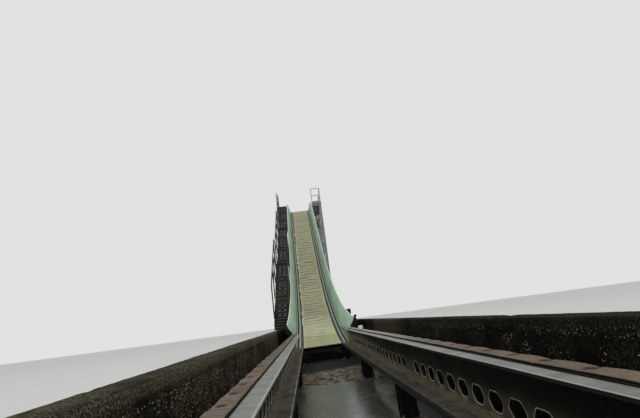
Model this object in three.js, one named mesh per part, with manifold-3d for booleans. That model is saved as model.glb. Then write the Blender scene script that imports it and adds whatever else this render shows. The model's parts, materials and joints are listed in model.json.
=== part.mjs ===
// A water slide for boats: the last drop with its steel tower, and the run-out track in its concrete channel.
// Millimetres: x runs across, y runs up the slide, z is up. Lengths along y count from the foot of the slide,
// and at the end the whole model moves along y, so that its origin is at the middle of its base.
import * as THREE from 'three';
import { mergeVertices } from 'three/addons/utils/BufferGeometryUtils.js';
import Module from 'manifold-3d';

const wasm = await Module();
wasm.setup();

const left = -1;
const right = 1;
const sides = [['left', left], ['right', right]];
const seat = 0.3; // running clearance between a piece and the sloping piece that carries it
const weld = 5; // how far a welded plate or post runs into its neighbour

// Channel
const floorTop = 200;
const wallTop = 1080;
const wallInside = 1090;
const wallThickness = 220;
const wallChamfer = 15;
const channelStart = -13500;
const channelEnd = 6000;

// Run-out tracks, given for the right-hand one
const bay = 3300;
const bayCount = 4;
const lastBayEnd = -150;
const postPlaces = [-150, -3850, -6750, -10050, -13350];
const postSize = 130;
const postBase = { size: 220, thickness: 15 };
const ledge = { inside: 500, outside: 700, bottom: 530, top: 600, end: -10 };
const web = { inside: 680, thickness: 12, top: 935, end: -10 };
const webHole = { pitch: 250, length: 200, height: 110, corner: 45, centre: 690, count: 12, missing: 4 };
const plate = { inside: 530, notch: 672, outside: 750, thickness: 15, end: -350, outerEnd: -655 };
const belt = { inside: 645, outside: 745, thickness: 15, end: -760 };
const gusset = { reach: 45, thickness: 10, fromBayEnd: 600, lift: 40 };
const endStrut = { thickness: 50, y: -705, width: 48, lean: 150, headRadius: 32, headSteps: 4 };
const sensorBox = { width: 100, depth: 80, height: 72, y: -2950 };

// Slide: a flat foot, a hollow curve, a straight drop, a round crest and a level top
const footAngle = THREE.MathUtils.degToRad(5.5);
const dropAngle = THREE.MathUtils.degToRad(33);
const hollowRadius = 24000;
const crestRadius = 7000;
const footHeight = 600;
const topHeight = 9340;
const topLength = 3300;
const hollowSteps = 16;
const dropSteps = 4;
const crestSteps = 8;
const topSteps = 2;
const sectionJoints = [3, 9, hollowSteps]; // steps where one length of bed, rails and frame ends

// Cross-section of the slide: x from the centre line, h square to the bed
const bed = { halfWidth: 490, thickness: 40 };
const lip = { thickness: 20, depth: 30 };
const rail = { inside: 530, outside: 698, top: 0, bottom: -12, flangeTop: 20, flangeThickness: 8 };
const girder = { inside: 515, outside: 615, depth: 302, flange: 15, web: 12 };
const girderUnderside = girder.depth - rail.bottom + seat;
const bearer = { depth: 120, thickness: 80, pitch: 1300, intoGirder: 5 };
const panelFoot = -130;
const panelThickness = 12;
const panelProfile = [[700, panelFoot], [702, 0], [710, 150], [735, 330], [790, 480], [850, 620]];
const panelTop = panelProfile[panelProfile.length - 1][1];
const panelStart = -650;
const bracket = { foot: 770, inner: 852, head: 880, top: 590, depth: 60, thickness: 20, endPlate: 10 };
const waling = { inside: 862, depth: 45 };

// Trestles and tower
const trestlePlaces = [3900, 7400, 10900, 14300];
const sleeperPlace = 450;
const legSize = 120;
const legSplay = { most: 260, slope: 0.12 };
const trestleBay = { height: 1700, first: 250, last: 100 };
const basePlate = { size: 240, thickness: 20 };
const crosshead = { halfLength: 640, depth: 160 };
const towerLegX = 1500;
const towerLegSize = 160;
const towerRows = [17450, 20525, 23600];
const towerLevels = [3100, 6200];
const braceSize = 70;
const towerBeamDepth = 180;
const towerRailSize = 100;
const braceInset = 60;
const deck = { inside: 900, outside: 1600, thickness: 40, end: 23800 };
const joist = { depth: 160, width: 80, crossDepth: 130, crossDrop: 10, crossInset: 20 };
const overlap = 30; // how far one bar of a welded frame runs into another

// Stairs on the left, one flight after another up to the deck
const riser = 170;
const going = 280;
const risersPerFlight = 16;
const flightCount = 3;
const landingLength = 1000;
const stairStart = 2750;
const stairInside = 900;
const stairOutside = 1400;
const tread = { depth: 290, thickness: 30, inset: 2 };
const riserPlate = { setback: 3, thickness: 8 };
const stringer = { depth: 240, thickness: 12, lead: 20 };
const sill = { reach: 300, thickness: 25 };
const landing = { thickness: 60, post: 90, braceLow: 300, braceHigh: 400 };
const handrail = {
  height: 1000,
  radius: 24,
  lead: 120,
  trail: 60,
  postSpacing: 1120,
  postFoot: 150,
  turn: 100,
};
const guard = { height: 1100, radius: 24, inset: 45, postSpacing: 1600, toeHeight: 150, toeThickness: 8 };
const guardEndToe = 145;
const barSides = 6;

const flightRun = (risersPerFlight - 1) * going;
const deckTop = wallTop + riser * risersPerFlight * flightCount;
const deckStart = stairStart + flightCount * flightRun + (flightCount - 1) * landingLength + seat;

function finish(color, roughness, metalness) {
  return new THREE.MeshStandardMaterial({ color, roughness, metalness });
}

const finishes = {
  concrete: finish(0x4a463e, 0.95, 0),
  floorConcrete: finish(0x5a584f, 0.5, 0),
  blackSteel: finish(0x1d1c1a, 0.6, 0.4),
  trackSteel: finish(0x4c4a3e, 0.6, 0.5),
  wornSteel: finish(0x8d8f8c, 0.4, 0.9),
  beltRubber: finish(0x5d4638, 0.85, 0),
  bedPlastic: finish(0xa7aa80, 0.45, 0),
  panelPlastic: finish(0x8fb59a, 0.4, 0),
  edgePlastic: finish(0xd9e2d2, 0.4, 0),
  greySteel: finish(0x7d7f7c, 0.5, 0.8),
  boxPlastic: finish(0xe6e6e2, 0.5, 0),
};

// Closed geometry to a solid, and back
function toSolid(geometry) {
  const bare = geometry.clone();
  bare.deleteAttribute('normal');
  bare.deleteAttribute('uv');
  const merged = mergeVertices(bare, 1e-3);
  const vertProperties = new Float32Array(merged.attributes.position.array);
  const triVerts = new Uint32Array(merged.index.array);
  return new wasm.Manifold(new wasm.Mesh({ numProp: 3, vertProperties, triVerts }));
}

function fuse(geometries) {
  const solid = geometries.map(toSolid).reduce((whole, piece) => whole.add(piece));
  const mesh = solid.getMesh();
  const geometry = new THREE.BufferGeometry();
  geometry.setAttribute('position', new THREE.BufferAttribute(mesh.vertProperties, 3));
  geometry.setIndex(new THREE.BufferAttribute(mesh.triVerts, 1));
  return geometry;
}

function range(count) {
  return Array.from({ length: count }, (_, index) => index);
}

// Box between two corners; side -1 mirrors it to the left
function block(x0, x1, y0, y1, z0, z1, side = right) {
  const geometry = new THREE.BoxGeometry(x1 - x0, y1 - y0, z1 - z0);
  return geometry.translate((side * (x0 + x1)) / 2, (y0 + y1) / 2, (z0 + z1) / 2);
}

function outline(points) {
  return new THREE.Shape(points.map(([u, v]) => new THREE.Vector2(u, v)));
}

function extruded(shape, depth, xAxis, yAxis, zAxis) {
  const geometry = new THREE.ExtrudeGeometry(shape, { depth, bevelEnabled: false, curveSegments: 6 });
  return geometry.applyMatrix4(new THREE.Matrix4().makeBasis(xAxis, yAxis, zAxis));
}

const axisX = new THREE.Vector3(1, 0, 0);
const axisY = new THREE.Vector3(0, 1, 0);
const axisZ = new THREE.Vector3(0, 0, 1);

// Outline in y and z, thick in x
function sidePlate(shape, x0, x1, side = right) {
  const geometry = extruded(shape, x1 - x0, axisY, axisZ, axisX);
  return geometry.translate(side === right ? x0 : -x1, 0, 0);
}

// Outline in x and z, thick in y
function crossPlate(points, y0, y1, side = right) {
  const shape = outline(points.map(([x, z]) => [side * x, z]));
  return extruded(shape, y1 - y0, axisX, axisZ, axisY.clone().negate()).translate(0, y1, 0);
}

// Bar of few sides between two points
function bar(from, to, size, sideCount = 4) {
  const start = new THREE.Vector3(...from);
  const along = new THREE.Vector3(...to).sub(start);
  const radius = sideCount === 4 ? size / Math.SQRT2 : size / 2;
  const geometry = new THREE.CylinderGeometry(radius, radius, along.length(), sideCount);
  if (sideCount === 4) geometry.rotateY(Math.PI / 4);
  const flat = Math.hypot(along.x, along.y) < 1 ? axisX : new THREE.Vector3(along.y, -along.x, 0).normalize();
  const direction = along.clone().normalize();
  const turn = new THREE.Matrix4().makeBasis(flat, direction, flat.clone().cross(direction));
  return geometry.applyMatrix4(turn).translate(...start.addScaledVector(along, 0.5).toArray());
}

const hollowEnd = hollowRadius * (Math.sin(dropAngle) - Math.sin(footAngle));
const hollowRise = hollowRadius * (Math.cos(footAngle) - Math.cos(dropAngle));
const crestRise = crestRadius * (1 - Math.cos(dropAngle));
const dropRise = topHeight - footHeight - hollowRise - crestRise;
const dropEnd = hollowEnd + dropRise / Math.tan(dropAngle);
const crestEnd = dropEnd + crestRadius * Math.sin(dropAngle);
const slideEnd = crestEnd + topLength;

// Evenly spaced values from one to another, without the first
function spread(from, to, steps) {
  return range(steps).map((step) => from + ((to - from) * (step + 1)) / steps);
}

function hollowPlace(angle) {
  const y = hollowRadius * (Math.sin(angle) - Math.sin(footAngle));
  return { y, z: footHeight + hollowRadius * (Math.cos(footAngle) - Math.cos(angle)), angle };
}

function crestPlace(angle) {
  const y = crestEnd - crestRadius * Math.sin(angle);
  return { y, z: topHeight - crestRadius * (1 - Math.cos(angle)), angle };
}

// The bed's surface as places a step apart: hollow curve, straight drop, round crest, level top
const bedPlaces = [
  hollowPlace(footAngle),
  ...spread(footAngle, dropAngle, hollowSteps).map(hollowPlace),
  ...spread(hollowEnd, dropEnd, dropSteps).map((y) => {
    return { y, z: footHeight + hollowRise + (y - hollowEnd) * Math.tan(dropAngle), angle: dropAngle };
  }),
  ...spread(dropAngle, 0, crestSteps).map(crestPlace),
  ...spread(crestEnd, slideEnd, topSteps).map((y) => ({ y, z: topHeight, angle: 0 })),
];

// The side panels start before the bed, level with its foot
const panelPlaces = [{ y: panelStart, z: footHeight, angle: 0 }, ...bedPlaces];

// Bed, rails and frame are made in lengths that meet end to end, with the running clearance between them
const sections = [...sectionJoints, bedPlaces.length - 1].map((end, index) => {
  if (index === 0) return bedPlaces.slice(0, end + 1);
  const joint = bedPlaces[sectionJoints[index - 1]];
  const y = joint.y + seat * Math.cos(joint.angle);
  const start = { y, z: joint.z + seat * Math.sin(joint.angle), angle: joint.angle };
  return [start, ...bedPlaces.slice(sectionJoints[index - 1] + 1, end + 1)];
});

// Height and slope of the bed at a length y, on the straight step between two places
function bedAt(y) {
  const next = Math.max(1, bedPlaces.findIndex((place) => place.y >= y));
  const from = bedPlaces[next - 1];
  const to = bedPlaces[next];
  const share = (y - from.y) / (to.y - from.y);
  return { z: from.z + (to.z - from.z) * share, angle: Math.atan2(to.z - from.z, to.y - from.y) };
}

// Middles of the steps, where a cross-piece meets one flat step
const stepMiddles = bedPlaces.slice(1).map((place, index) => (place.y + bedPlaces[index].y) / 2);

function nearestMiddle(y) {
  return stepMiddles.reduce((best, middle) => (Math.abs(middle - y) < Math.abs(best - y) ? middle : best));
}

// Section of x and h points carried along some places of the slide
function sweep(points, places, side = right) {
  const path = places.slice().reverse();
  const steps = path.length - 1;
  const shape = outline(points.map(([x, h]) => [side * x, h]));
  const geometry = new THREE.ExtrudeGeometry(shape, { depth: steps, steps, bevelEnabled: false });
  const position = geometry.attributes.position;
  for (let index = 0; index < position.count; index += 1) {
    const place = path[Math.round(position.getZ(index))];
    const h = position.getY(index);
    position.setY(index, place.y - h * Math.sin(place.angle));
    position.setZ(index, place.z + h * Math.cos(place.angle));
  }
  return geometry;
}

// Outline of x and h points standing square to the bed at a length y
function acrossSlide(points, y, thickness, side = right) {
  const { z, angle } = bedAt(y);
  const shape = outline(points.map(([x, h]) => [side * x, h]));
  const up = new THREE.Vector3(0, -Math.sin(angle), Math.cos(angle));
  const down = new THREE.Vector3(0, -Math.cos(angle), -Math.sin(angle));
  const geometry = extruded(shape, thickness, axisX, up, down);
  return geometry.translate(0, y - (down.y * thickness) / 2, z - (down.z * thickness) / 2);
}

const model = new THREE.Group();

function add(name, geometry, material) {
  const mesh = new THREE.Mesh(geometry, material);
  mesh.name = name;
  model.add(mesh);
}

function addPair(name, make, material) {
  for (const [word, side] of sides) add(`${name}_${word}`, make(side), material);
}

function wallBlock(y0, y1, side) {
  const outside = wallInside + wallThickness;
  const section = [
    [wallInside, floorTop],
    [outside, floorTop],
    [outside, wallTop - wallChamfer],
    [outside - wallChamfer, wallTop],
    [wallInside + wallChamfer, wallTop],
    [wallInside, wallTop - wallChamfer],
  ];
  return crossPlate(section, y0, y1, side);
}

function addChannel() {
  const outside = wallInside + wallThickness;
  const floor = block(-outside, outside, channelStart, channelEnd, 0, floorTop);
  add('channel_floor', floor, finishes.floorConcrete);
  addPair('channel_wall', (side) => wallBlock(channelStart, channelEnd, side), finishes.concrete);
  const endWall = block(-wallInside, wallInside, channelEnd - wallThickness, channelEnd, floorTop, wallTop);
  add('channel_end_wall', endWall, finishes.concrete);
}

const bayEnds = range(bayCount + 1).map((index) => lastBayEnd - index * bay);

function trackFrame(side) {
  const middle = (ledge.inside + ledge.outside) / 2;
  const posts = postPlaces.flatMap((y) => {
    const column = [middle - postSize / 2, middle + postSize / 2, y - postSize / 2, y + postSize / 2];
    const foot = [middle - postBase.size / 2, middle + postBase.size / 2, y - postBase.size / 2];
    return [
      block(...column, floorTop, ledge.bottom + weld, side),
      block(...foot, y + postBase.size / 2, floorTop, floorTop + postBase.thickness, side),
    ];
  });
  const beam = block(ledge.inside, ledge.outside, channelStart, ledge.end, ledge.bottom, ledge.top, side);
  return fuse([beam, ...posts]);
}

// Long hole with cut corners, centred on a point of the web
function holePath(y, z) {
  const halfLength = webHole.length / 2;
  const halfHeight = webHole.height / 2;
  const inner = halfLength - webHole.corner;
  const path = new THREE.Path();
  path.moveTo(y - halfLength, z);
  path.lineTo(y - inner, z + halfHeight);
  path.lineTo(y + inner, z + halfHeight);
  path.lineTo(y + halfLength, z);
  path.lineTo(y + inner, z - halfHeight);
  path.lineTo(y - inner, z - halfHeight);
  path.closePath();
  return path;
}

// Upright side of the track: a row of holes in each bay, and none in the bay beside the slide's foot
function guideWeb(side) {
  const shape = outline([
    [channelStart, ledge.top],
    [web.end, ledge.top],
    [web.end, web.top],
    [channelStart, web.top],
  ]);
  bayEnds.slice(1).forEach((start, index) => {
    const count = webHole.count - (index === 0 ? webHole.missing : 0);
    for (let hole = 0; hole < count; hole += 1) {
      const fromMiddle = (hole - (webHole.count - 1) / 2) * webHole.pitch;
      shape.holes.push(holePath(start + bay / 2 + fromMiddle, webHole.centre));
    }
  });
  const skin = sidePlate(shape, web.inside, web.inside + web.thickness, side);
  const ribX = [web.inside + web.thickness - weld, web.inside + web.thickness + gusset.reach];
  const ribs = bayEnds.slice(0, bayCount).map((end) => {
    const y = end - gusset.fromBayEnd;
    return block(...ribX, y - gusset.thickness, y, ledge.top + gusset.lift, web.top, side);
  });
  return fuse([skin, ...ribs]);
}

function topPlate(side) {
  const shape = outline([
    [side * plate.inside, channelStart],
    [side * plate.outside, channelStart],
    [side * plate.outside, plate.outerEnd],
    [side * plate.notch, plate.outerEnd],
    [side * plate.notch, plate.end],
    [side * plate.inside, plate.end],
  ]);
  return extruded(shape, plate.thickness, axisX, axisY, axisZ).translate(0, 0, web.top);
}

// Raking strut that holds the free end of a side panel, with a rounded head
function panelEndStrut(side) {
  const foot = web.top + plate.thickness;
  const head = [plate.outside + endStrut.lean - endStrut.headRadius, footHeight + panelTop];
  const arc = range(endStrut.headSteps + 1).map((step) => {
    const turn = (Math.PI * step) / endStrut.headSteps;
    return [head[0] + endStrut.headRadius * Math.cos(turn), head[1] + endStrut.headRadius * Math.sin(turn)];
  });
  const points = [[plate.outside - endStrut.width, foot], [plate.outside, foot], ...arc];
  return crossPlate(points, endStrut.y, endStrut.y + endStrut.thickness, side);
}

function addTracks() {
  addPair('track_frame', trackFrame, finishes.trackSteel);
  addPair('guide_web', guideWeb, finishes.trackSteel);
  addPair('top_plate', topPlate, finishes.wornSteel);
  const beltBottom = web.top + plate.thickness;
  const beltTop = beltBottom + belt.thickness;
  const beltBox = [belt.inside, belt.outside, channelStart, belt.end, beltBottom, beltTop];
  addPair('belt', (side) => block(...beltBox, side), finishes.beltRubber);
  addPair('panel_end_strut', panelEndStrut, finishes.blackSteel);
  const { width, depth, height, y } = sensorBox;
  const boxX = (belt.inside + belt.outside - width) / 2;
  add('sensor_box', block(boxX, boxX + width, y, y + depth, beltTop, beltTop + height), finishes.boxPlastic);
}

function panelSection() {
  const outer = panelProfile.map(([x, h]) => [x + panelThickness, h]).reverse();
  return [...panelProfile, ...outer];
}

function girderSection() {
  const top = rail.bottom - seat;
  const bottom = top - girder.depth;
  const webFace = girder.inside + girder.web;
  return [
    [girder.inside, top],
    [girder.outside, top],
    [girder.outside, top - girder.flange],
    [webFace, top - girder.flange],
    [webFace, bottom + girder.flange],
    [girder.outside, bottom + girder.flange],
    [girder.outside, bottom],
    [girder.inside, bottom],
  ];
}

function railSection() {
  return [
    [rail.inside, rail.bottom],
    [rail.outside, rail.bottom],
    [rail.outside, rail.flangeTop],
    [rail.outside - rail.flangeThickness, rail.flangeTop],
    [rail.outside - rail.flangeThickness, rail.top],
    [rail.inside, rail.top],
  ];
}

// Steps of the slide that get a cross-bearer and a pair of panel brackets
function bearerPlaces() {
  const places = [];
  for (const y of stepMiddles) {
    if (places.length === 0 || y - places[places.length - 1] >= bearer.pitch) places.push(y);
  }
  return places;
}

function rectangle(x0, x1, h0, h1) {
  return [[x0, h0], [x1, h0], [x1, h1], [x0, h1]];
}

// One length of the frame: two girders joined by cross-bearers under the bed
function slideFrame(places) {
  const top = -bed.thickness - seat;
  const end = girder.inside + bearer.intoGirder;
  const section = rectangle(-end, end, top - bearer.depth, top);
  const first = places[0].y;
  const last = places[places.length - 1].y;
  const bearers = bearerPlaces().filter((y) => y > first && y < last);
  return fuse([
    ...sides.map(([, side]) => sweep(girderSection(), places, side)),
    ...bearers.map((y) => acrossSlide(section, y, bearer.thickness)),
  ]);
}

// Bracket that carries a side panel: an end plate on the girder, an arm under the panel and a raking plate
// behind it
function bracketSection() {
  const root = girder.outside + seat;
  const armTop = panelFoot - seat;
  const plateTop = rail.bottom - seat;
  return [
    [root, plateTop],
    [root + bracket.endPlate, plateTop],
    [root + bracket.endPlate, armTop],
    [bracket.foot, armTop],
    [bracket.inner, bracket.top],
    [bracket.head, bracket.top],
    [bracket.head, bracket.top - bracket.depth],
    [bracket.foot + bracket.endPlate, armTop - bracket.depth],
    [root + bracket.endPlate, rail.bottom - girder.depth],
    [root, rail.bottom - girder.depth],
  ];
}

// All brackets of one side, joined by a flat bar behind the panel's upper edge
function panelBrackets(side) {
  const section = rectangle(waling.inside, bracket.head, bracket.top - waling.depth, bracket.top);
  const brackets = bearerPlaces().map((y) => acrossSlide(bracketSection(), y, bracket.thickness, side));
  return fuse([sweep(section, bedPlaces, side), ...brackets]);
}

function addSlide() {
  const bedSection = rectangle(-bed.halfWidth, bed.halfWidth, -bed.thickness, 0);
  sections.forEach((places, index) => {
    const number = index + 1;
    add(`slide_bed_${number}`, sweep(bedSection, places), finishes.bedPlastic);
    add(`slide_frame_${number}`, slideFrame(places), finishes.trackSteel);
    for (const [word, side] of sides) {
      add(`wheel_rail_${word}_${number}`, sweep(railSection(), places, side), finishes.wornSteel);
    }
  });
  const lipBox = [-lip.thickness - seat, -seat, footHeight - lip.depth, footHeight];
  add('slide_lip', block(-bed.halfWidth, bed.halfWidth, ...lipBox), finishes.edgePlastic);
  addPair('side_panel', (side) => sweep(panelSection(), panelPlaces, side), finishes.panelPlastic);
  addPair('panel_brackets', panelBrackets, finishes.blackSteel);
}

// Height just under the girders at a length y
function girderBottomAt(y) {
  const { z, angle } = bedAt(y);
  return z - girderUnderside / Math.cos(angle);
}

// Cross-beam under both girders, its top cut to their slope
function crossheadBeam(y, halfLength, width, depth) {
  const low = girderBottomAt(y - width / 2) - seat;
  const high = girderBottomAt(y + width / 2) - seat;
  const base = low - depth;
  const near = y - width / 2;
  const shape = outline([[near, base], [near + width, base], [near + width, high], [near, low]]);
  return sidePlate(shape, -halfLength, halfLength);
}

function foot(x, y, ground) {
  const half = basePlate.size / 2;
  return block(x - half, x + half, y - half, y + half, ground, ground + basePlate.thickness);
}

// Two splayed legs, a crosshead and bracing
function trestle(y, ground) {
  const beamBottom = girderBottomAt(y - legSize / 2) - seat - crosshead.depth;
  const height = beamBottom - ground;
  const splay = Math.min(legSplay.most, height * legSplay.slope);
  const topX = (girder.inside + girder.outside) / 2;
  const pieces = [crossheadBeam(y, crosshead.halfLength, legSize, crosshead.depth)];
  for (const [, side] of sides) {
    const from = [side * (topX + splay), y, ground + basePlate.thickness / 2];
    const to = [side * topX, y, beamBottom + overlap];
    pieces.push(bar(from, to, legSize), foot(side * (topX + splay), y, ground));
  }
  const bays = Math.floor(height / trestleBay.height);
  const bayHeight = (height - trestleBay.first - trestleBay.last) / bays;
  const halfAt = (z) => topX + splay * (1 - (z - ground) / height);
  for (const index of range(bays)) {
    const low = ground + trestleBay.first + bayHeight * index;
    const high = low + bayHeight;
    pieces.push(bar([-halfAt(low), y, low], [halfAt(low), y, low], braceSize));
    pieces.push(bar([-halfAt(low), y, low], [halfAt(high), y, high], braceSize));
    pieces.push(bar([halfAt(low), y, low], [-halfAt(high), y, high], braceSize));
  }
  return fuse(pieces);
}

function addTrestles() {
  const sleeperY = nearestMiddle(sleeperPlace);
  const sleeperDepth = girderBottomAt(sleeperY - legSize / 2) - seat - floorTop;
  const sleeper = crossheadBeam(sleeperY, crosshead.halfLength, legSize, sleeperDepth);
  add('foot_sleeper', sleeper, finishes.blackSteel);
  trestlePlaces.map(nearestMiddle).forEach((y, index) => {
    add(`trestle_${index + 1}`, trestle(y, y < channelEnd ? floorTop : 0), finishes.greySteel);
  });
}

// One long face of the tower: three legs, two levels of rails and a diagonal in each panel
function towerSide(side) {
  const x = side * towerLegX;
  const top = deckTop - deck.thickness - joist.depth;
  const first = towerRows[0];
  const last = towerRows[towerRows.length - 1];
  const legs = towerRows.flatMap((y) => [bar([x, y, 0], [x, y, top], towerLegSize), foot(x, y, 0)]);
  const levels = [...towerLevels, top - towerLegSize / 2];
  const rails = levels.map((z) => bar([x, first, z], [x, last, z], towerRailSize));
  const floors = [basePlate.thickness + braceInset, ...levels];
  const diagonals = range(floors.length - 1).flatMap((level) => {
    return range(towerRows.length - 1).map((index) => {
      const forward = (index + level) % 2 === 0;
      const from = [x, towerRows[index + (forward ? 0 : 1)], floors[level]];
      return bar(from, [x, towerRows[index + (forward ? 1 : 0)], floors[level + 1]], braceSize);
    });
  });
  return fuse([...legs, ...rails, ...diagonals]);
}

// Frame across the tower at one row of legs: the beam that carries the slide, rails and crossed braces
function towerCross(y) {
  const reach = towerLegX - towerLegSize / 2;
  const beamLow = girderBottomAt(y - towerLegSize / 2) - seat - towerBeamDepth;
  const pieces = [crossheadBeam(y, reach, towerLegSize, towerBeamDepth)];
  for (const z of towerLevels) pieces.push(bar([-reach, y, z], [reach, y, z], towerRailSize));
  const floors = [...towerLevels, beamLow + braceInset];
  const inner = reach - braceInset;
  for (const level of range(floors.length - 1)) {
    pieces.push(bar([-inner, y, floors[level]], [inner, y, floors[level + 1]], braceSize));
    pieces.push(bar([inner, y, floors[level]], [-inner, y, floors[level + 1]], braceSize));
  }
  return fuse(pieces);
}

function deckJoists(side) {
  const top = deckTop - deck.thickness;
  const long = [deckStart, deck.end, top - joist.depth, top];
  const outer = block(towerLegX - joist.width / 2, towerLegX + joist.width / 2, ...long, side);
  const inner = block(deck.inside, deck.inside + joist.width, ...long, side);
  const crossX = [deck.inside + joist.crossInset, towerLegX];
  const crossZ = [top - joist.crossDrop - joist.crossDepth, top - joist.crossDrop];
  const half = joist.width / 2;
  const cross = towerRows.map((y) => block(...crossX, y - half, y + half, ...crossZ, side));
  return fuse([outer, inner, ...cross]);
}

// Posts with two rails and a toe board along a straight edge of the deck; where the end meets a post it adds
// none
function guardPieces(from, to, toeHeight, hasLastPost) {
  const start = new THREE.Vector3(...from, deckTop);
  const end = new THREE.Vector3(...to, deckTop);
  const gaps = Math.max(1, Math.round(start.distanceTo(end) / guard.postSpacing));
  const up = (point, z) => [point.x, point.y, deckTop + z];
  const topRail = guard.height - guard.radius;
  const size = guard.radius * 2;
  const pieces = [topRail, guard.height / 2].map((z) => bar(up(start, z), up(end, z), size, barSides));
  for (const index of range(hasLastPost ? gaps + 1 : gaps)) {
    const point = start.clone().lerp(end, index / gaps);
    pieces.push(bar(up(point, 0), up(point, topRail + guard.radius / 2), size));
  }
  const halfToe = new THREE.Vector3(guard.toeThickness / 2, guard.toeThickness / 2, 0);
  const low = start.clone().min(end).sub(halfToe);
  const high = start.clone().max(end).add(halfToe);
  pieces.push(block(low.x, high.x, low.y, high.y, deckTop, deckTop + toeHeight));
  return pieces;
}

// Guard along the outer edge and the back of one deck, and along its front where no stair comes up
function guardRail(side) {
  const edge = side * (deck.outside - guard.inset);
  const inner = side * (deck.inside + guard.inset);
  const near = deckStart + guard.inset;
  const far = deck.end - guard.inset;
  const pieces = guardPieces([edge, near], [edge, far], guard.toeHeight, true);
  pieces.push(...guardPieces([inner, far], [edge, far], guardEndToe, false));
  if (side === right) pieces.push(...guardPieces([inner, near], [edge, near], guardEndToe, false));
  return fuse(pieces);
}

function addTower() {
  addPair('tower_side', towerSide, finishes.greySteel);
  towerRows.forEach((y, index) => add(`tower_cross_${index + 1}`, towerCross(y), finishes.greySteel));
  addPair('deck_joists', deckJoists, finishes.greySteel);
  const board = [deck.inside, deck.outside, deckStart, deck.end, deckTop - deck.thickness, deckTop];
  addPair('deck', (side) => block(...board, side), finishes.greySteel);
  addPair('guard_rail', guardRail, finishes.greySteel);
}

function flightStart(flight) {
  const y = stairStart + flight * (flightRun + landingLength);
  return { y, z: wallTop + flight * risersPerFlight * riser };
}

// Two stringers with treads and riser plates between them; the lowest flight also has a sill plate on
// the wall
function stairFlight(flight) {
  const start = flightStart(flight);
  const slope = riser / going;
  const rise = flightRun * slope;
  const stringerShape = outline([
    [start.y - stringer.lead, start.z],
    [start.y + (stringer.depth - riser) / slope, start.z],
    [start.y + flightRun, start.z + rise - stringer.depth + riser],
    [start.y + flightRun, start.z + rise + riser],
    [start.y - stringer.lead, start.z + riser],
  ]);
  const pieces = [
    sidePlate(stringerShape, stairInside, stairInside + stringer.thickness, left),
    sidePlate(stringerShape, stairOutside - stringer.thickness, stairOutside, left),
  ];
  const treadX = [stairInside + tread.inset, stairOutside - tread.inset];
  for (const index of range(risersPerFlight - 1)) {
    const top = start.z + riser * (index + 1) - tread.inset;
    const back = start.y + going * (index + 1) - tread.inset;
    pieces.push(block(...treadX, back - tread.depth, back, top - tread.thickness, top, left));
  }
  for (const index of range(risersPerFlight)) {
    const back = start.y + going * index - riserPlate.setback;
    const low = start.z + riser * index - (index > 0 ? tread.thickness / 2 : 0);
    const high = start.z + riser * (index + 1) - tread.thickness / 2;
    pieces.push(block(...treadX, back - riserPlate.thickness, back, low, high, left));
  }
  if (flight === 0) {
    const sillBox = [start.y - sill.reach, start.y + sill.reach, start.z, start.z + sill.thickness];
    pieces.push(block(stairInside, stairOutside, ...sillBox, left));
  }
  return fuse(pieces);
}

// Landing plate on four braced posts
function stairLanding(flight) {
  const start = flightStart(flight);
  const near = start.y - landingLength + seat;
  const far = start.y - stringer.lead - seat;
  const pieces = [block(stairInside, stairOutside, near, far, start.z - landing.thickness, start.z, left)];
  const xs = [stairInside + landing.post, stairOutside - landing.post];
  const ys = [near + landing.post, far - landing.post];
  const postZ = [basePlate.thickness / 2, start.z - landing.thickness / 2];
  for (const x of xs) {
    for (const y of ys) pieces.push(bar([-x, y, postZ[0]], [-x, y, postZ[1]], landing.post), foot(-x, y, 0));
    pieces.push(bar([-x, ys[0], landing.braceLow], [-x, ys[1], start.z - landing.braceHigh], braceSize / 2));
  }
  for (const y of ys) {
    pieces.push(bar([-xs[0], y, start.z / 2], [-xs[1], y, start.z / 2], braceSize));
  }
  return fuse(pieces);
}

// Posts on the outer stringer with a top and a middle rail, and the same along the landing before the flight
function stairRail(flight) {
  const start = flightStart(flight);
  const size = handrail.radius * 2;
  const x = -stairOutside - handrail.radius - seat;
  const railRun = flightRun - handrail.lead - handrail.trail;
  const low = { y: start.y + handrail.lead, z: start.z + riser };
  const high = { y: low.y + railRun, z: low.z + (railRun * riser) / going };
  const heights = [handrail.height, handrail.height / 2];
  const pieces = heights.map((z) => bar([x, low.y, low.z + z], [x, high.y, high.z + z], size, barSides));
  const gaps = Math.round(flightRun / handrail.postSpacing);
  for (const index of range(gaps + 1)) {
    const y = low.y + ((high.y - low.y) * index) / gaps;
    const z = low.z + ((high.z - low.z) * index) / gaps;
    pieces.push(bar([x, y, z - handrail.postFoot], [x, y, z + handrail.height], size));
  }
  if (flight > 0) {
    const y = start.y - landingLength + handrail.turn;
    pieces.push(bar([x, y, start.z - landing.thickness], [x, y, start.z + handrail.height], size));
    for (const z of heights) pieces.push(bar([x, y, start.z + z], [x, low.y, low.z + z], size, barSides));
  }
  return fuse(pieces);
}

function addStairs() {
  for (const flight of range(flightCount)) {
    add(`stair_flight_${flight + 1}`, stairFlight(flight), finishes.blackSteel);
    add(`stair_rail_${flight + 1}`, stairRail(flight), finishes.blackSteel);
    if (flight > 0) add(`stair_landing_${flight}`, stairLanding(flight), finishes.blackSteel);
  }
}

addChannel();
addTracks();
addSlide();
addTrestles();
addTower();
addStairs();
model.position.y = -(channelStart + slideEnd) / 2;

export default model;
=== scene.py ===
import json
import math

import bpy
import numpy as np
from mathutils import Matrix, Vector


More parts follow.
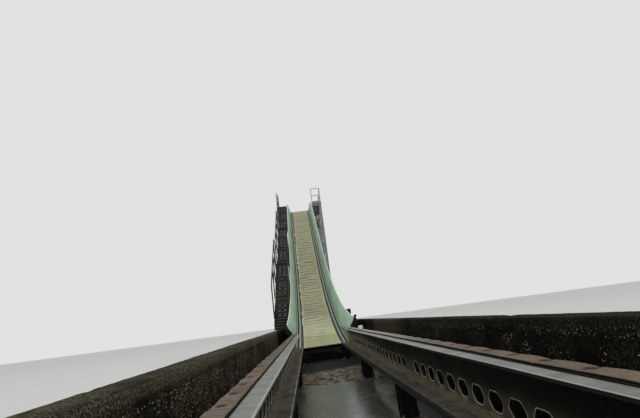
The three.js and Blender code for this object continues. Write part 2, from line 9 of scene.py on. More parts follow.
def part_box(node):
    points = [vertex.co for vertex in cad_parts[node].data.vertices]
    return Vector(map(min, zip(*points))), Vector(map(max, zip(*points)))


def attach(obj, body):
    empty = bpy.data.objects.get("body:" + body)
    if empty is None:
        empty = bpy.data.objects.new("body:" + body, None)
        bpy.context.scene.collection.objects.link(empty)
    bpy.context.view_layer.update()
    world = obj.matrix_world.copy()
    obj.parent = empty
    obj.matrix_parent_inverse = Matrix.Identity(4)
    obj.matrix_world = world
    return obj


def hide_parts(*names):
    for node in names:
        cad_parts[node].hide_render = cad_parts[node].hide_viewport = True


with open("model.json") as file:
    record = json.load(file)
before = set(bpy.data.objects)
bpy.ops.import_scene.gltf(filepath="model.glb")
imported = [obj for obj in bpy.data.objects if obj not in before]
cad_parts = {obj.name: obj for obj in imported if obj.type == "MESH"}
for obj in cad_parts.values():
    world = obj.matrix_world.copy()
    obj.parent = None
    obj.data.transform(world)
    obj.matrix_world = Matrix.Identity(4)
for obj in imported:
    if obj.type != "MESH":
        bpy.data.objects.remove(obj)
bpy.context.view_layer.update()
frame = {"nodes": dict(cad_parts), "record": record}
cadNodes = frame["nodes"]
print("frame loaded:", len(cadNodes), "nodes")

sides = {"left": -1, "right": 1}
xAxis, yAxis, zAxis = np.eye(3)
origin = (0, 0, 0)

# Places that many pieces share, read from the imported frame, in metres
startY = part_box("channel_floor")[0].y      # open end of the channel
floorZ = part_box("channel_floor")[1].z
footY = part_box("slide_bed_1")[0].y         # foot of the slide's bed
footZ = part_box("slide_lip")[1].z
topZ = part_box("slide_bed_4")[1].z
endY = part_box("slide_bed_4")[1].y


# Shapes: a part is points, quads and many-sided caps, all as arrays, and masks that its material reads

def makePart(points, quads, caps=()):
    # Signed volume by the divergence theorem; a negative one means that the faces point inwards, so they turn
    points = np.asarray(points, float).reshape(-1, 3)
    corners = [quads[:, [0, 1, 2]], quads[:, [0, 2, 3]]]
    corners += [np.stack([np.full(len(c) - 2, c[0]), c[1:-1], c[2:]], 1) for c in caps]
    a, b, c = np.moveaxis((points - points.mean(0))[np.concatenate(corners)], 1, 0)
    if np.einsum("ij,ij->", a, np.cross(b, c)) < 0:
        quads, caps = quads[:, ::-1], [cap[::-1] for cap in caps]
    return {"points": points, "quads": quads, "caps": list(caps), "masks": {}}


def carried(grid, ring=False, **masks):
    # Closed profile carried along a path: grid[i, j] is point j at place i, capped unless the path is a ring
    steps, count = grid.shape[:2]
    i = np.arange(steps if ring else steps - 1)[:, None]
    j = np.arange(count)[None, :]
    nextI, nextJ = (i + 1) % steps, (j + 1) % count
    corners = [i * count + j, nextI * count + j, nextI * count + nextJ, i * count + nextJ]
    quads = np.stack(np.broadcast_arrays(*corners), -1).reshape(-1, 4)
    caps = [] if ring else [np.arange(count), np.arange(count)[::-1] + (steps - 1) * count]
    part = makePart(grid, quads, caps)
    part["masks"] = {key: np.broadcast_to(mask, (steps, count)) for key, mask in masks.items()}
    return part


def joined(parts):
    # Several parts as one, with the masks that the first one has
    starts = np.cumsum([0] + [len(part["points"]) for part in parts])
    keys = parts[0]["masks"]
    return {
        "points": np.concatenate([part["points"] for part in parts]),
        "quads": np.concatenate([part["quads"] + start for part, start in zip(parts, starts)]),
        "caps": [cap + start for part, start in zip(parts, starts) for cap in part["caps"]],
        "masks": {key: np.concatenate([np.ravel(part["masks"][key]) for part in parts]) for key in keys},
    }


def copied(part, places, turns=np.eye(3)):
    # The same part at every place: point = turn @ point + place; one turn for all places, or one for each
    places = np.asarray(places, float).reshape(-1, 3)
    turns = np.broadcast_to(turns, (len(places), 3, 3))
    moved = np.einsum("kab,nb->kna", turns, part["points"]) + places[:, None]
    shift = np.arange(len(places)) * len(part["points"])
    quads = (part["quads"][None] + shift[:, None, None]).reshape(-1, 4)
    caps = [cap + start for start in shift for cap in part["caps"]]
    return {"points": moved.reshape(-1, 3), "quads": quads, "caps": caps, "masks": {}}


def points3(x, y, z):
    # Points from three numbers or arrays, spread over one common grid
    return np.stack(np.broadcast_arrays(x, y, z), -1).astype(float)


def unit(vectors):
    # Vectors divided by their lengths
    return vectors / np.linalg.norm(vectors, axis=-1, keepdims=True)


def slab(top, bottom, under=None, **masks):
    # Closed strip between a top and a bottom that runs backwards; masks are the top's, 0 or as given below it
    under = under or {}
    both = {key: np.concatenate([mask, 0 * mask + under.get(key, 0)], 1) for key, mask in masks.items()}
    return carried(np.concatenate([top, bottom], 1), **both)


def rectangle(u0, v0, u1, v1):
    # Four corners of a rectangle, anticlockwise from the lower left one
    return [[u0, v0], [u1, v0], [u1, v1], [u0, v1]]


def arcs(before, corners, after, steps):
    # At each corner a curve from before to after: (1 - t)^2 before + 2 t (1 - t) corner + t^2 after
    t = np.linspace(0, 1, steps + 1)[None, :, None]
    return (1 - t) ** 2 * before[:, None] + 2 * t * (1 - t) * corners[:, None] + t ** 2 * after[:, None]


def rounded(corners, radius, steps=3):
    # Closed outline whose corners become arcs that start and end one radius away, or less on a short side
    corners = np.asarray(corners, float)
    before, after = np.roll(corners, 1, 0) - corners, np.roll(corners, -1, 0) - corners
    reach = np.minimum(np.linalg.norm(before, axis=1), np.linalg.norm(after, axis=1)) * 0.45
    reach = np.minimum(reach, radius)[:, None]
    return arcs(corners + unit(before) * reach, corners, corners + unit(after) * reach, steps).reshape(-1, 2)


def bent(places, radius, steps=5):
    # Open path whose inner corners become arcs that start and end one radius away
    places = np.asarray(places, float)
    before, after = (places[1:-1] + unit(ends - places[1:-1]) * radius for ends in (places[:-2], places[2:]))
    curve = arcs(before, places[1:-1], after, steps).reshape(-1, 3)
    return np.concatenate([places[:1], curve, places[-1:]])


def platePart(outline, thickness, middle=origin, uAxis=xAxis, vAxis=zAxis):
    # Flat plate whose outline of u and v is carried half its thickness to either side, along u x v
    outline = np.asarray(outline, float)
    flat = np.asarray(middle, float) + outline[:, :1] * uAxis + outline[:, 1:] * vAxis
    half = np.cross(uAxis, vAxis) * thickness / 2
    return carried(np.stack([flat - half, flat + half]))


def boxPart(low, high, radius=0.002):
    # Box between two corners, its long edges along y rounded
    low, high = np.minimum(low, high), np.maximum(low, high)
    outline = rounded(rectangle(low[0], low[2], high[0], high[2]), radius, 2)
    return platePart(outline, high[1] - low[1], (0, (low[1] + high[1]) / 2, 0))


def circle(count):
    # Cosines and sines of evenly spaced angles
    angle = np.arange(count) / count * 2 * np.pi
    return np.cos(angle), np.sin(angle)


def turnedPart(radii, heights, count):
    # Rings of the given radii and heights about the z axis
    cos, sin = circle(count)
    return carried(points3(np.outer(radii, cos), np.outer(radii, sin), np.asarray(heights, float)[:, None]))


def pipePart(places, radius, count=14):
    # Round pipe through some places; each ring lies square to the mean direction of its two neighbours
    places = np.asarray(places, float)
    along = unit(np.gradient(places, axis=0))
    side = unit(np.cross(along, [0.31, 0.17, 0.93]))
    cos, sin = circle(count)
    ring = cos[:, None] * side[:, None] + sin[:, None] * np.cross(side, along)[:, None]
    return carried(places[:, None] + radius * ring)


def turnTo(normal):
    # Turn that takes the z axis to the normal: its columns are two axes across it and the normal
    normal = unit(np.asarray(normal, float))
    across = unit(np.cross(yAxis if abs(normal[1]) < 0.9 else xAxis, normal))
    return np.stack([across, np.cross(normal, across), normal], 1)


def turnAboutZ(angle):
    # Turn about the z axis: cos and sin of the angle in the first two rows and columns
    return np.array([[math.cos(angle), -math.sin(angle), 0], [math.sin(angle), math.cos(angle), 0], zAxis])


# Radius and height of the bolts' heads
boltSizes = {
    "post": (0.006, 0.005), "tread": (0.008, 0.006), "panel": (0.008, 0.007), "cover": (0.01, 0.008),
    "strut": (0.011, 0.009), "beam": (0.012, 0.01),
}


def boltsPart(size, places, turns):
    # Six-sided heads with a chamfered top on round washers; turns are as copied has them, or one normal
    radius, height = boltSizes[size]
    head = turnedPart([radius, radius, radius * 0.8], [0.0, height * 0.8, height], 6)
    bolt = joined([turnedPart([radius * 1.35] * 2, [-0.001, height * 0.22], 10), head])
    return copied(bolt, places, turnTo(turns) if np.ndim(turns) == 1 else turns)


def softNoise(u, v, cell, seed):
    # Value noise from -1 to 1: random heights on a square lattice, eased and blended between its corners
    table = np.random.default_rng(seed).uniform(-1, 1, (251, 257))
    u, v = np.broadcast_arrays(u / cell, v / cell)
    iu, iv = np.floor(u).astype(int), np.floor(v).astype(int)
    fu, fv = u - iu, v - iv
    fu, fv = fu * fu * (3 - 2 * fu), fv * fv * (3 - 2 * fv)
    near, far = iu % 251, (iu + 1) % 251
    low, high = (table[near, row % 257] * (1 - fu) + table[far, row % 257] * fu for row in (iv, iv + 1))
    return low * (1 - fv) + high * fv


def eased(value, low, high):
    # 0 below low, 1 above high, and 3 t^2 - 2 t^3 between them
    t = np.clip((value - low) / (high - low), 0, 1)
    return t * t * (3 - 2 * t)


# Slide's curve, by the arc length along its bed

slideCurve = {"footAngle": 5.5, "dropAngle": 33.0, "hollowRadius": 24.0, "crestRadius": 7.0}

footAngle, dropAngle = math.radians(slideCurve["footAngle"]), math.radians(slideCurve["dropAngle"])
hollowRadius, crestRadius = slideCurve["hollowRadius"], slideCurve["crestRadius"]
hollowRun = hollowRadius * (dropAngle - footAngle)
crestRun = crestRadius * dropAngle
hollowRise = hollowRadius * (math.cos(footAngle) - math.cos(dropAngle))
crestRise = crestRadius * (1 - math.cos(dropAngle))
dropRun = (topZ - footZ - hollowRise - crestRise) / math.sin(dropAngle)
curveRun = hollowRun + dropRun + crestRun


def slidePath(run):
    # Arc length to y, z and slope: level before the foot, a hollow arc, a straight drop, a round crest, level
    hollow = np.clip(run, 0, hollowRun)
    drop = np.clip(run - hollowRun, 0, dropRun)
    crest = np.clip(run - hollowRun - dropRun, 0, crestRun)
    level = np.minimum(run, 0) + np.maximum(run - curveRun, 0)
    a = footAngle + hollow / hollowRadius
    c = dropAngle - crest / crestRadius
    y = footY + level + hollowRadius * (np.sin(a) - math.sin(footAngle)) + drop * math.cos(dropAngle)
    y = y + crestRadius * (math.sin(dropAngle) - np.sin(c))
    z = footZ + hollowRadius * (math.cos(footAngle) - np.cos(a)) + drop * math.sin(dropAngle)
    z = z + crestRadius * (np.cos(c) - math.cos(dropAngle))
    return y, z, np.where(run < 0, 0.0, a - crest / crestRadius)


wholeRun = curveRun + endY - float(slidePath(np.array(curveRun))[0])


def runSteps(step):
    # Arc lengths from the slide's foot to its end, about a step apart
    return np.linspace(0, wholeRun, int(wholeRun / step))


def onSlide(run, x, h):
    # Point at arc length run, x across and h square to the bed, for whole arrays at once
    y, z, slope = slidePath(np.asarray(run, float))
    return points3(x, y - h * np.sin(slope), z + h * np.cos(slope))


def runAt(y):
    # Arc length at a length y, by looking it up in a fine table of the curve
    table = np.linspace(-1.0, wholeRun, 4000)
    return np.interp(y, slidePath(table)[0], table)


def slopeTurn(run):
    # Turn about x that tilts a level part to the bed's slope
    slope = slidePath(np.asarray(run, float))[2]
    cos, sin, none = np.cos(slope), np.sin(slope), 0 * slope
    rows = [none + 1, none, none, none, cos, -sin, none, sin, cos]
    return np.stack(rows, -1).reshape(*slope.shape, 3, 3)


# Shader trees: a signal is a node's output, and arithmetic on it adds Math nodes

class Signal:
    def __init__(self, shading, socket):
        self.shading, self.socket = shading, socket

    def other(self, name):
        return Signal(self.shading, self.socket.node.outputs[name])

    def maths(self, operation, a, b):
        return self.shading.add("Math", 0, {0: a, 1: b}, operation=operation)

    def __add__(self, value):
        return self.maths("ADD", self, value)

    def __mul__(self, value):
        return self.maths("MULTIPLY", self, value)

    def __sub__(self, value):
        return self.maths("SUBTRACT", self, value)

    def __rsub__(self, value):
        return self.maths("SUBTRACT", value, self)

    def __gt__(self, value):
        return self.maths("GREATER_THAN", self, value)

    def __lt__(self, value):
        return self.maths("LESS_THAN", self, value)

    def atLeast(self, value):
        return self.maths("MAXIMUM", self, value)

    def size(self):
        return self.maths("ABSOLUTE", self, 0.0)

    def between(self, low, high):
        # 0 below low, 1 above high and eased between them
        inputs = {"Value": self, "From Min": low, "From Max": high}
        return self.shading.add("MapRange", "Result", inputs, interpolation_type="SMOOTHSTEP")


class Shading:
    # A node tree under construction; place is the vector that its textures follow
    def __init__(self, tree, place=None):
        self.tree, self.place = tree, place

    def feed(self, socket, value):
        if isinstance(value, Signal):
            self.tree.links.new(value.socket, socket)
        else:
            socket.default_value = value

    def add(self, kind, output, inputs=None, **settings):
        # New shader node of a kind, with its settings and inputs; the result is the named output
        node = self.tree.nodes.new("ShaderNode" + kind)
        for key, value in settings.items():
            setattr(node, key, value)
        for key, value in (inputs or {}).items():
            self.feed(node.inputs[key], value)
        return Signal(self, node.outputs[output])

    def noise(self, scale, detail=4.0, roughness=0.55, stretch=None):
        place = self.stretched(stretch) if stretch else self.place
        inputs = {"Vector": place, "Scale": scale, "Detail": detail, "Roughness": roughness}
        return self.add("TexNoise", "Fac", inputs)

    def stretched(self, stretch):
        # Place multiplied by the stretch along each axis
        return self.add("Mapping", 0, {"Vector": self.place, "Scale": stretch})

    def cells(self, scale, output, **settings):
        return self.add("TexVoronoi", output, {"Vector": self.place, "Scale": scale}, **settings)

    def axis(self, name, vector=None):
        return self.add("SeparateXYZ", name, {0: vector or self.place})

    def attribute(self, name):
        return self.add("Attribute", "Fac", attribute_name=name)

    def blended(self, factor, a, b):
        # Colour a (1 - factor) + b factor; a colour is a signal or three numbers
        a, b = (value if isinstance(value, Signal) else (*value, 1) for value in (a, b))
        return self.add("Mix", 2, {0: factor, 6: a, 7: b}, data_type="RGBA")

    def use(self, group, **inputs):
        return self.add("Group", 0, {"vector": self.place, **inputs}, node_tree=group)

    def patches(self, scale, amount, softness):
        return self.use(patchGroup, scale=scale, amount=amount, softness=softness)

    def streaks(self, stretch, amount):
        return self.use(streakGroup, stretch=stretch, amount=amount)

    def worn(self, radius, amount):
        return self.use(edgeGroup, radius=radius, amount=amount)

    def grain(self, swell, grain, share):
        return self.use(grainGroup, swell=swell, grain=grain, share=share)


def makeGroup(name, output, build, **inputs):
    # Node group with a number or a vector for each input; build turns them into the one output
    tree = bpy.data.node_groups.new(name, "ShaderNodeTree")
    for key, value in {"vector": None, **inputs}.items():
        kind = "NodeSocketFloat" if isinstance(value, float) else "NodeSocketVector"
        socket = tree.interface.new_socket(key, in_out="INPUT", socket_type=kind)
        if value is not None:
            socket.default_value = value
    tree.interface.new_socket(output, in_out="OUTPUT", socket_type="NodeSocketFloat")
    given = tree.nodes.new("NodeGroupInput").outputs
    s = Shading(tree)
    s.place = Signal(s, given["vector"])
    result = build(s, *(Signal(s, given[key]) for key in inputs))
    s.feed(tree.nodes.new("NodeGroupOutput").inputs[output], result)
    return tree


def buildPatches(s, scale, amount, softness):
    # Coarse noise with a finer one in it, cut at a level that the amount sets
    mixed = s.noise(scale, 6.0, 0.62) * 0.75 + s.noise(scale * 9.0, 3.0) * 0.25
    level = 0.75 - amount * 0.5
    return mixed.between(level - softness, level + softness)


def buildStreaks(s, stretch, amount):
    # Noise squeezed across and drawn out along the direction of the run, given by the stretch
    s.place = s.add("VectorMath", 0, {0: s.place, 1: stretch}, operation="MULTIPLY")
    level = 0.78 - amount * 0.5
    return s.noise(1.0, 5.0, 0.6).between(level, level + 0.2)


def buildEdges(s, radius, amount):
    # Where the normal over a small radius leaves the face's own, broken up by noise
    soft = s.add("Bevel", 0, {"Radius": radius}, samples=4)
    flat = s.add("NewGeometry", "Normal")
    alike = s.add("VectorMath", "Value", {0: soft, 1: flat}, operation="DOT_PRODUCT")
    patchy = s.noise(14.0, 5.0) + (amount - 0.5)
    return ((1.0 - alike) * 6.0 * patchy).between(0.12, 0.45)


def buildGrain(s, swell, grain, share):
    # Height of a cast or rolled surface: coarse swells and grain added by their shares
    return s.noise(grain, 4.0, 0.6) * share + s.noise(swell, 3.0) * (1.0 - share)


patchGroup = makeGroup("dirtPatches", "mask", buildPatches, scale=2.0, amount=0.4, softness=0.08)
streakGroup = makeGroup("runStreaks", "mask", buildStreaks, stretch=(6.0, 6.0, 0.4), amount=0.5)
edgeGroup = makeGroup("wornEdges", "mask", buildEdges, radius=0.008, amount=0.5)
grainGroup = makeGroup("surfaceGrain", "height", buildGrain, swell=3.0, grain=60.0, share=0.4)


class Surface(Shading):
    # A material under construction: one colour after another is laid over it through a mask
    def __init__(self, name, color):
        self.material = bpy.data.materials.new(name)
        self.material.use_nodes = True
        super().__init__(self.material.node_tree)
        self.place = self.add("TexCoord", "Object")
        self.color = color

    def paint(self, mask, color):
        self.color = self.blended(mask, self.color, color)

    def finish(self, rough, height=None, strength=0.3, distance=0.004, **constants):
        # Roughness, a bump of the height by its strength and distance, and constants of the shader by name
        inputs = self.tree.nodes["Principled BSDF"].inputs
        self.feed(inputs["Base Color"], self.color)
        self.feed(inputs["Roughness"], rough)
        if height is not None:
            bump = {"Height": height, "Strength": strength, "Distance": distance}
            self.feed(inputs["Normal"], self.add("Bump", "Normal", bump))
        for key, name in (("dullness", "Specular IOR Level"), ("metal", "Metallic")):
            if key in constants:
                inputs[name].default_value = constants[key]
        return self.material


# Materials

# The stone colour is near-black: partly the concrete's own, partly painted shade deep in the channel
wallLook = {
    "earth": (0.088, 0.07, 0.046), "rind": (0.23, 0.205, 0.14), "stone": (0.007, 0.0064, 0.0042),
    "stain": (0.003, 0.0028, 0.0022), "lime": (0.055, 0.049, 0.034), "pebble": (0.62, 0.61, 0.54),
    "grit": (0.165, 0.142, 0.078), "bandDrop": 0.022, "gritScale": 74.0, "dullness": 0.05,
}


def makeWallMaterial(name, topZ, pebbleScale, pebbleShare, gritAmount, bandAmount, stain, lime, dampZ, darkY):
    # Stained concrete: lime clouds, black runs, darker and damp up to dampZ (the darkening partly painted
    # shade), grit and gravel, near-black beyond darkY as painted shadow
    look = wallLook
    s = Surface(name, look["stone"])
    y, z = s.axis("Y"), s.axis("Z")
    s.paint(s.patches(1.9, lime, 0.12), look["lime"])
    s.paint(s.streaks((2.2, 2.2, 1.6), stain), look["stain"])
    # Darker up to dampZ: partly damp, partly painted shade low down in the channel
    dampAndShade = 1.0 - z.between(dampZ - 0.4, dampZ)
    s.paint(dampAndShade * 0.9, look["stain"])
    speckle = s.noise(look["gritScale"], 2.0, 0.7).between(0.47, 0.6)
    smooth = 1.0 - dampAndShade * 0.8
    s.paint(s.noise(3.1, 4.0, 0.6).between(0.3, 0.6) * speckle * smooth * gritAmount, look["grit"])
    band = z.between(topZ - look["bandDrop"], topZ - look["bandDrop"] + 0.02)
    s.paint(band * (bandAmount * 0.4), look["lime"])
    depth = topZ - z
    under = (1.0 - depth.between(0.05, 0.085) - band).atLeast(0.0)
    s.paint(under * (speckle * 0.7 + 0.2) * bandAmount, look["rind"])
    s.paint(s.worn(0.02, 0.5) * 0.4, look["lime"])
    middle = y.between(darkY - 3.0, darkY - 2.0) * (1.0 - dampAndShade)
    s.paint(middle * 0.55, look["earth"])
    # Near-black beyond darkY, in the stain colour: painted shadow near the slide's foot
    far = y.between(darkY - 0.15, darkY + 0.15)
    s.paint(far * 0.85, look["stain"])
    cells = s.cells(pebbleScale, "Color")
    distance = cells.other("Distance")
    share = (s.noise(2.4, 3.0).between(0.3, 0.62) * 0.5 + 0.6) * pebbleShare
    chosen = s.add("SeparateColor", 0, {0: cells}) + share > 1.0
    size = s.noise(31.0, 2.0) * 0.5 + 0.08
    dot = 1.0 - distance.between(size * 0.5, size)
    bare = depth.between(0.02, 0.13)
    # Pebbles dimmed in the brown stretch and in the painted shadow beyond darkY
    tone = 1.0 - middle.atLeast(far) * 0.85
    s.paint(chosen * dot * (bare * smooth) * tone, look["pebble"])
    height = (s.grain(14.0, 90.0, 0.5) - distance * 0.6) * (bare * 0.75 + 0.25)
    return s.finish(0.95 - dampAndShade * 0.3, height, 0.9, 0.012, dullness=look["dullness"])


# The mud's near-black is painted shade under the slide; its paler furrows are the mud's own
floorLook = {
    "concrete": (0.1, 0.103, 0.084), "wet": (0.056, 0.058, 0.047), "mud": (0.0045, 0.004, 0.0035),
    "silt": (0.215, 0.172, 0.118), "siltDark": (0.016, 0.012, 0.009), "tan": (0.42, 0.37, 0.285),
    "mudPale": (0.034, 0.032, 0.026), "shine": 0.36,
}


def makeFloorMaterial():
    # Three masks from the mesh: standing water, silt, and the mud under the slide, painted near-black as the
    # shade under it
    look = floorLook
    s = Surface("wetFloor", look["concrete"])
    water, silt, mud = (s.attribute(word) for word in ("water", "silt", "mud"))
    patches = s.patches(2.2, 0.5, 0.14)
    s.paint(patches, look["wet"])
    s.paint(water * 0.6, look["wet"])
    clods = s.noise(8.0, 6.0, 0.7, (1.0, 1.7, 1.0)).between(0.42, 0.6)
    crests = s.noise(4.5, 5.0, 0.7, (1.0, 2.2, 1.0)).between(0.52, 0.64)
    furrows = s.noise(3.0, 5.0, 0.7, (1.2, 7.0, 1.0)).between(0.5, 0.64)
    s.paint(silt, s.blended(crests * 0.7, s.blended(clods, look["siltDark"], look["silt"]), look["tan"]))
    s.paint(mud, s.blended(furrows * 0.8, look["mud"], look["mudPale"]))
    dry = 1.0 - water
    height = s.grain(9.0, 120.0, 0.5) * dry + s.noise(1.0, 4.0, 0.65, (4.0, 34.0, 1.0)) * 0.16
    return s.finish(patches * 0.18 + 0.15 + dry * 0.8, height, 0.8, 0.012, dullness=look["shine"])


def makePaintMaterial(name, colors, dirtAmount=0.5, roughness=0.5, dullness=0.3, lowDirtAndShading=None, blotch=3.4):
    # Old paint on steel: dirt patches, runs, rust spots and rubbed edges over a slightly uneven coat
    # The low colour is another one low down on faces that look sideways (painted shade on the ledge's front
    # face; dirt, brightened as painted light, on the web near its holes), the heights between which it fades,
    # how much higher it reaches at the far end, and its share at the near end
    paint, dirt, rust, edge = colors
    s = Surface(name, paint)
    patches = s.patches(blotch, dirtAmount, 0.1)
    s.paint(patches, dirt)
    s.paint(s.streaks((9.0, 9.0, 0.8), 0.45) * 0.5, dirt)
    s.paint(s.patches(11.0, 0.22, 0.03), rust)
    if lowDirtAndShading:
        other, start, end, lift, near = lowDirtAndShading
        far = s.axis("Y").between(-11.0, -7.5)
        uneven = (s.noise(3.0, 5.0, 0.7) - 0.5) * (end - start)
        height = s.axis("Z") + (uneven - far * lift)
        sideways = s.axis("X", s.add("NewGeometry", "True Normal")).size()
        below = (1.0 - height.between(start, end)) * sideways.between(0.3, 0.7)
        s.paint(below * (far * (1.0 - near) + near) * 0.92, other)
    s.paint(s.worn(0.006, 0.6) * 0.8, edge)
    return s.finish(patches * 0.2 + roughness, s.grain(6.0, 140.0, 0.3), 0.35, 0.004, dullness=dullness)


stairLook = {
    "black": (0.007, 0.007, 0.006), "dirt": (0.019, 0.018, 0.013), "edge": (0.075, 0.074, 0.066),
    "red": (0.62, 0.36, 0.36), "redX": -1.38, "redLow": 1.98, "redHigh": 2.46, "dullness": 0.3,
}


def makeStairMaterial():
    # Black paint whose outer stringer keeps a faded red coat between two heights
    look = stairLook
    s = Surface("stairPaint", look["black"])
    z = s.axis("Z")
    patches = s.patches(7.0, 0.5, 0.08)
    s.paint(patches, look["dirt"])
    low = z.between(look["redLow"] - 0.06, look["redLow"] + 0.06)
    high = 1.0 - z.between(look["redHigh"] - 0.08, look["redHigh"] + 0.04)
    s.paint((s.axis("X") < look["redX"]) * s.patches(5.0, 0.95, 0.1) * (low * high), look["red"])
    s.paint(s.worn(0.006, 0.6) * 0.6, look["edge"])
    return s.finish(patches * 0.2 + 0.55, s.grain(9.0, 150.0, 0.4), 0.4, 0.004, dullness=look["dullness"])


# Rust spots, a bright grey that is partly polish and partly painted highlight, and black for painted shade
steelLook = {"spot": (0.1, 0.08, 0.055), "shine": (0.52, 0.52, 0.49), "groove": (0.004, 0.004, 0.0035)}


def makeWornShadedSteelMaterial(name, bright, dull, bands):
    # Steel polished by wheels: scratches drawn out along the track, stains in bands across it
    # The mesh's value blackens it above 0, painted shade in grooves, gutters and side faces, and brightens it
    # below 0, partly polish and partly painted highlight
    s = Surface(name, dull)
    given = s.attribute("groove")
    groove, shine = given.atLeast(0.0), (given * -1.0).atLeast(0.0)
    scratches = s.noise(1.0, 6.0, 0.65, (26.0, 0.9, 8.0))
    across = s.noise(1.0, 5.0, 0.7, (1.4, 9.0, 1.0))
    s.paint(scratches, bright)
    s.paint(across.between(0.42, 0.66) * bands, dull)
    s.paint(s.patches(2.6, 0.5, 0.16) * 0.5, dull)
    s.paint(s.patches(17.0, 0.16, 0.03), steelLook["spot"])
    s.paint(shine, steelLook["shine"])
    s.paint(groove, steelLook["groove"])
    return s.finish((scratches * 0.28 + 0.4).atLeast(groove), scratches + across, 0.3, 0.003, metal=0.2)


beltLook = {
    "rubber": (0.105, 0.073, 0.048), "light": (0.19, 0.15, 0.11), "red": (0.16, 0.088, 0.058),
    "grey": (0.085, 0.08, 0.068), "dark": (0.004, 0.0035, 0.003), "paleFar": (0.3, 0.295, 0.26),
    "cracks": 55.0,
}


def makeBeltMaterial():
    # Old rubber lengths: each keeps its own tone from the mesh, with cracks, dark joints, and dark slots,
    # bolt creases and a dark rim that are painted shade
    look = beltLook
    s = Surface("beltRubber", look["rubber"])
    slot, tone = s.attribute("slot"), s.attribute("tone")
    s.paint(s.patches(4.0, 0.5, 0.16), look["light"])
    s.paint(tone.between(0.55, 1.0) * 0.8, look["red"])
    s.paint(1.0 - tone.between(0.0, 0.4), look["grey"])
    # Paler along a stretch of the right-hand belt
    s.paint(s.axis("Y").between(-13.6, -10.2) * (s.axis("X") > 0.0), look["paleFar"])
    inputs = {"Vector": s.stretched((1.0, 0.35, 1.0)), "Scale": look["cracks"]}
    cracks = s.add("TexVoronoi", "Distance", inputs, feature="DISTANCE_TO_EDGE")
    lines = 1.0 - cracks.between(0.0, 0.08)
    s.paint(lines * 0.3, look["dark"])
    s.paint(slot, look["dark"])
    return s.finish(0.85, s.grain(12.0, 150.0, 0.45) - lines * 0.5, 0.5, 0.004, dullness=0.3)


bedLook = {
    "pale": (0.53, 0.51, 0.235), "green": (0.36, 0.375, 0.175), "olive": (0.06, 0.052, 0.019),
    "brown": (0.26, 0.215, 0.095), "white": (0.7, 0.7, 0.53), "tan": (0.27, 0.262, 0.118),
}


def makeBedMaterial():
    # Faded glass fibre: the mesh's masks give the ripples' shade, the rubbed stretch and the tan one
    look = bedLook
    s = Surface("bedFibreglass", look["pale"])
    s.paint(s.noise(1.0, 3.0, stretch=(0.8, 0.22, 0.22)).between(0.35, 0.68), look["green"])
    s.paint(s.attribute("tan"), look["tan"])
    s.paint(s.streaks((16.0, 0.5, 0.5), 0.5) * 0.28, look["brown"])
    thin = s.noise(1.0, 4.0, 0.6, (2.2, 3.0, 3.0)).between(0.22, 0.5)
    s.paint(s.attribute("ripple") * thin, look["olive"])
    s.paint(s.patches(3.1, 0.42, 0.12) * 0.55, look["brown"])
    patches = s.patches(1.8, 0.36, 0.14)
    s.paint(patches * 0.22, look["white"])
    s.paint(s.attribute("edge") * 0.42, look["white"])
    return s.finish(patches * 0.2 + 0.42, s.grain(2.5, 45.0, 0.25), 0.4, 0.008)


panelLook = {
    "mint": (0.265, 0.455, 0.31), "pale": (0.4, 0.57, 0.44), "olive": (0.15, 0.165, 0.085),
    "white": (0.86, 0.9, 0.8), "water": 0.965,
}


def makePanelMaterial():
    # Mint glass fibre, paler towards its top, olive below the water line, partly stain and partly painted
    # shade, white on its edge
    look = panelLook
    s = Surface("panelFibreglass", look["mint"])
    s.paint(s.noise(1.0, 4.0, stretch=(1.0, 0.4, 0.6)).between(0.36, 0.66), look["pale"])
    s.paint(s.attribute("rise").between(0.72, 1.0) * 0.5, look["pale"])
    depth = look["water"] - (s.axis("Z") + s.noise(2.0, 4.0, 0.6) * 0.07)
    dirt = s.patches(2.4, 0.7, 0.3)
    s.paint(depth.between(-0.035, 0.02) * (dirt * 0.35 + 0.55), look["olive"])
    s.paint(s.streaks((7.0, 7.0, 0.6), 0.4) * 0.35, look["olive"])
    s.paint(s.attribute("pale"), look["white"])
    return s.finish(dirt * 0.25 + 0.33, s.grain(1.6, 50.0, 0.15), 0.35, 0.006)


def makeZincMaterial(name, light, dark, rustAmount):
    # Galvanised steel: crystal patches, pale runs and a little rust at the seams
    s = Surface(name, dark)
    crystal = s.add("SeparateColor", 0, {0: s.cells(24.0, "Color")})
    s.paint(crystal, light)
    s.paint(s.patches(1.2, 0.5, 0.2) * 0.5, dark)
    s.paint(s.streaks((10.0, 10.0, 0.5), 0.4) * 0.4, light)
    s.paint(s.patches(6.0, rustAmount, 0.04), (0.2, 0.1, 0.05))
    return s.finish(crystal * 0.16 + 0.42, crystal, 0.12, 0.003, metal=0.55)


def makePlasticMaterial(name, color, dirt, roughness):
    # Moulded plastic with a little grime in patches and runs
    s = Surface(name, color)
    patches = s.patches(9.0, 0.35, 0.15)
    s.paint(patches.atLeast(s.streaks((24.0, 24.0, 2.0), 0.45)) * 0.45, dirt)
    return s.finish(patches * 0.2 + roughness, s.grain(8.0, 220.0, 0.4), 0.3, 0.002)


dirtLook = {"dark": (0.022, 0.018, 0.011), "light": (0.25, 0.195, 0.12), "green": (0.055, 0.055, 0.026)}


def makeDirtMaterial():
    # Crumbs from fine noise, light on dark, with green patches
    s = Surface("driedDirt", dirtLook["dark"])
    crumbs = s.noise(90.0, 5.0, 0.7)
    s.paint(crumbs.between(0.34, 0.66), dirtLook["light"])
    s.paint(s.patches(5.0, 0.5, 0.2) * 0.7, dirtLook["green"])
    return s.finish(0.95, crumbs, 0.9, 0.008)


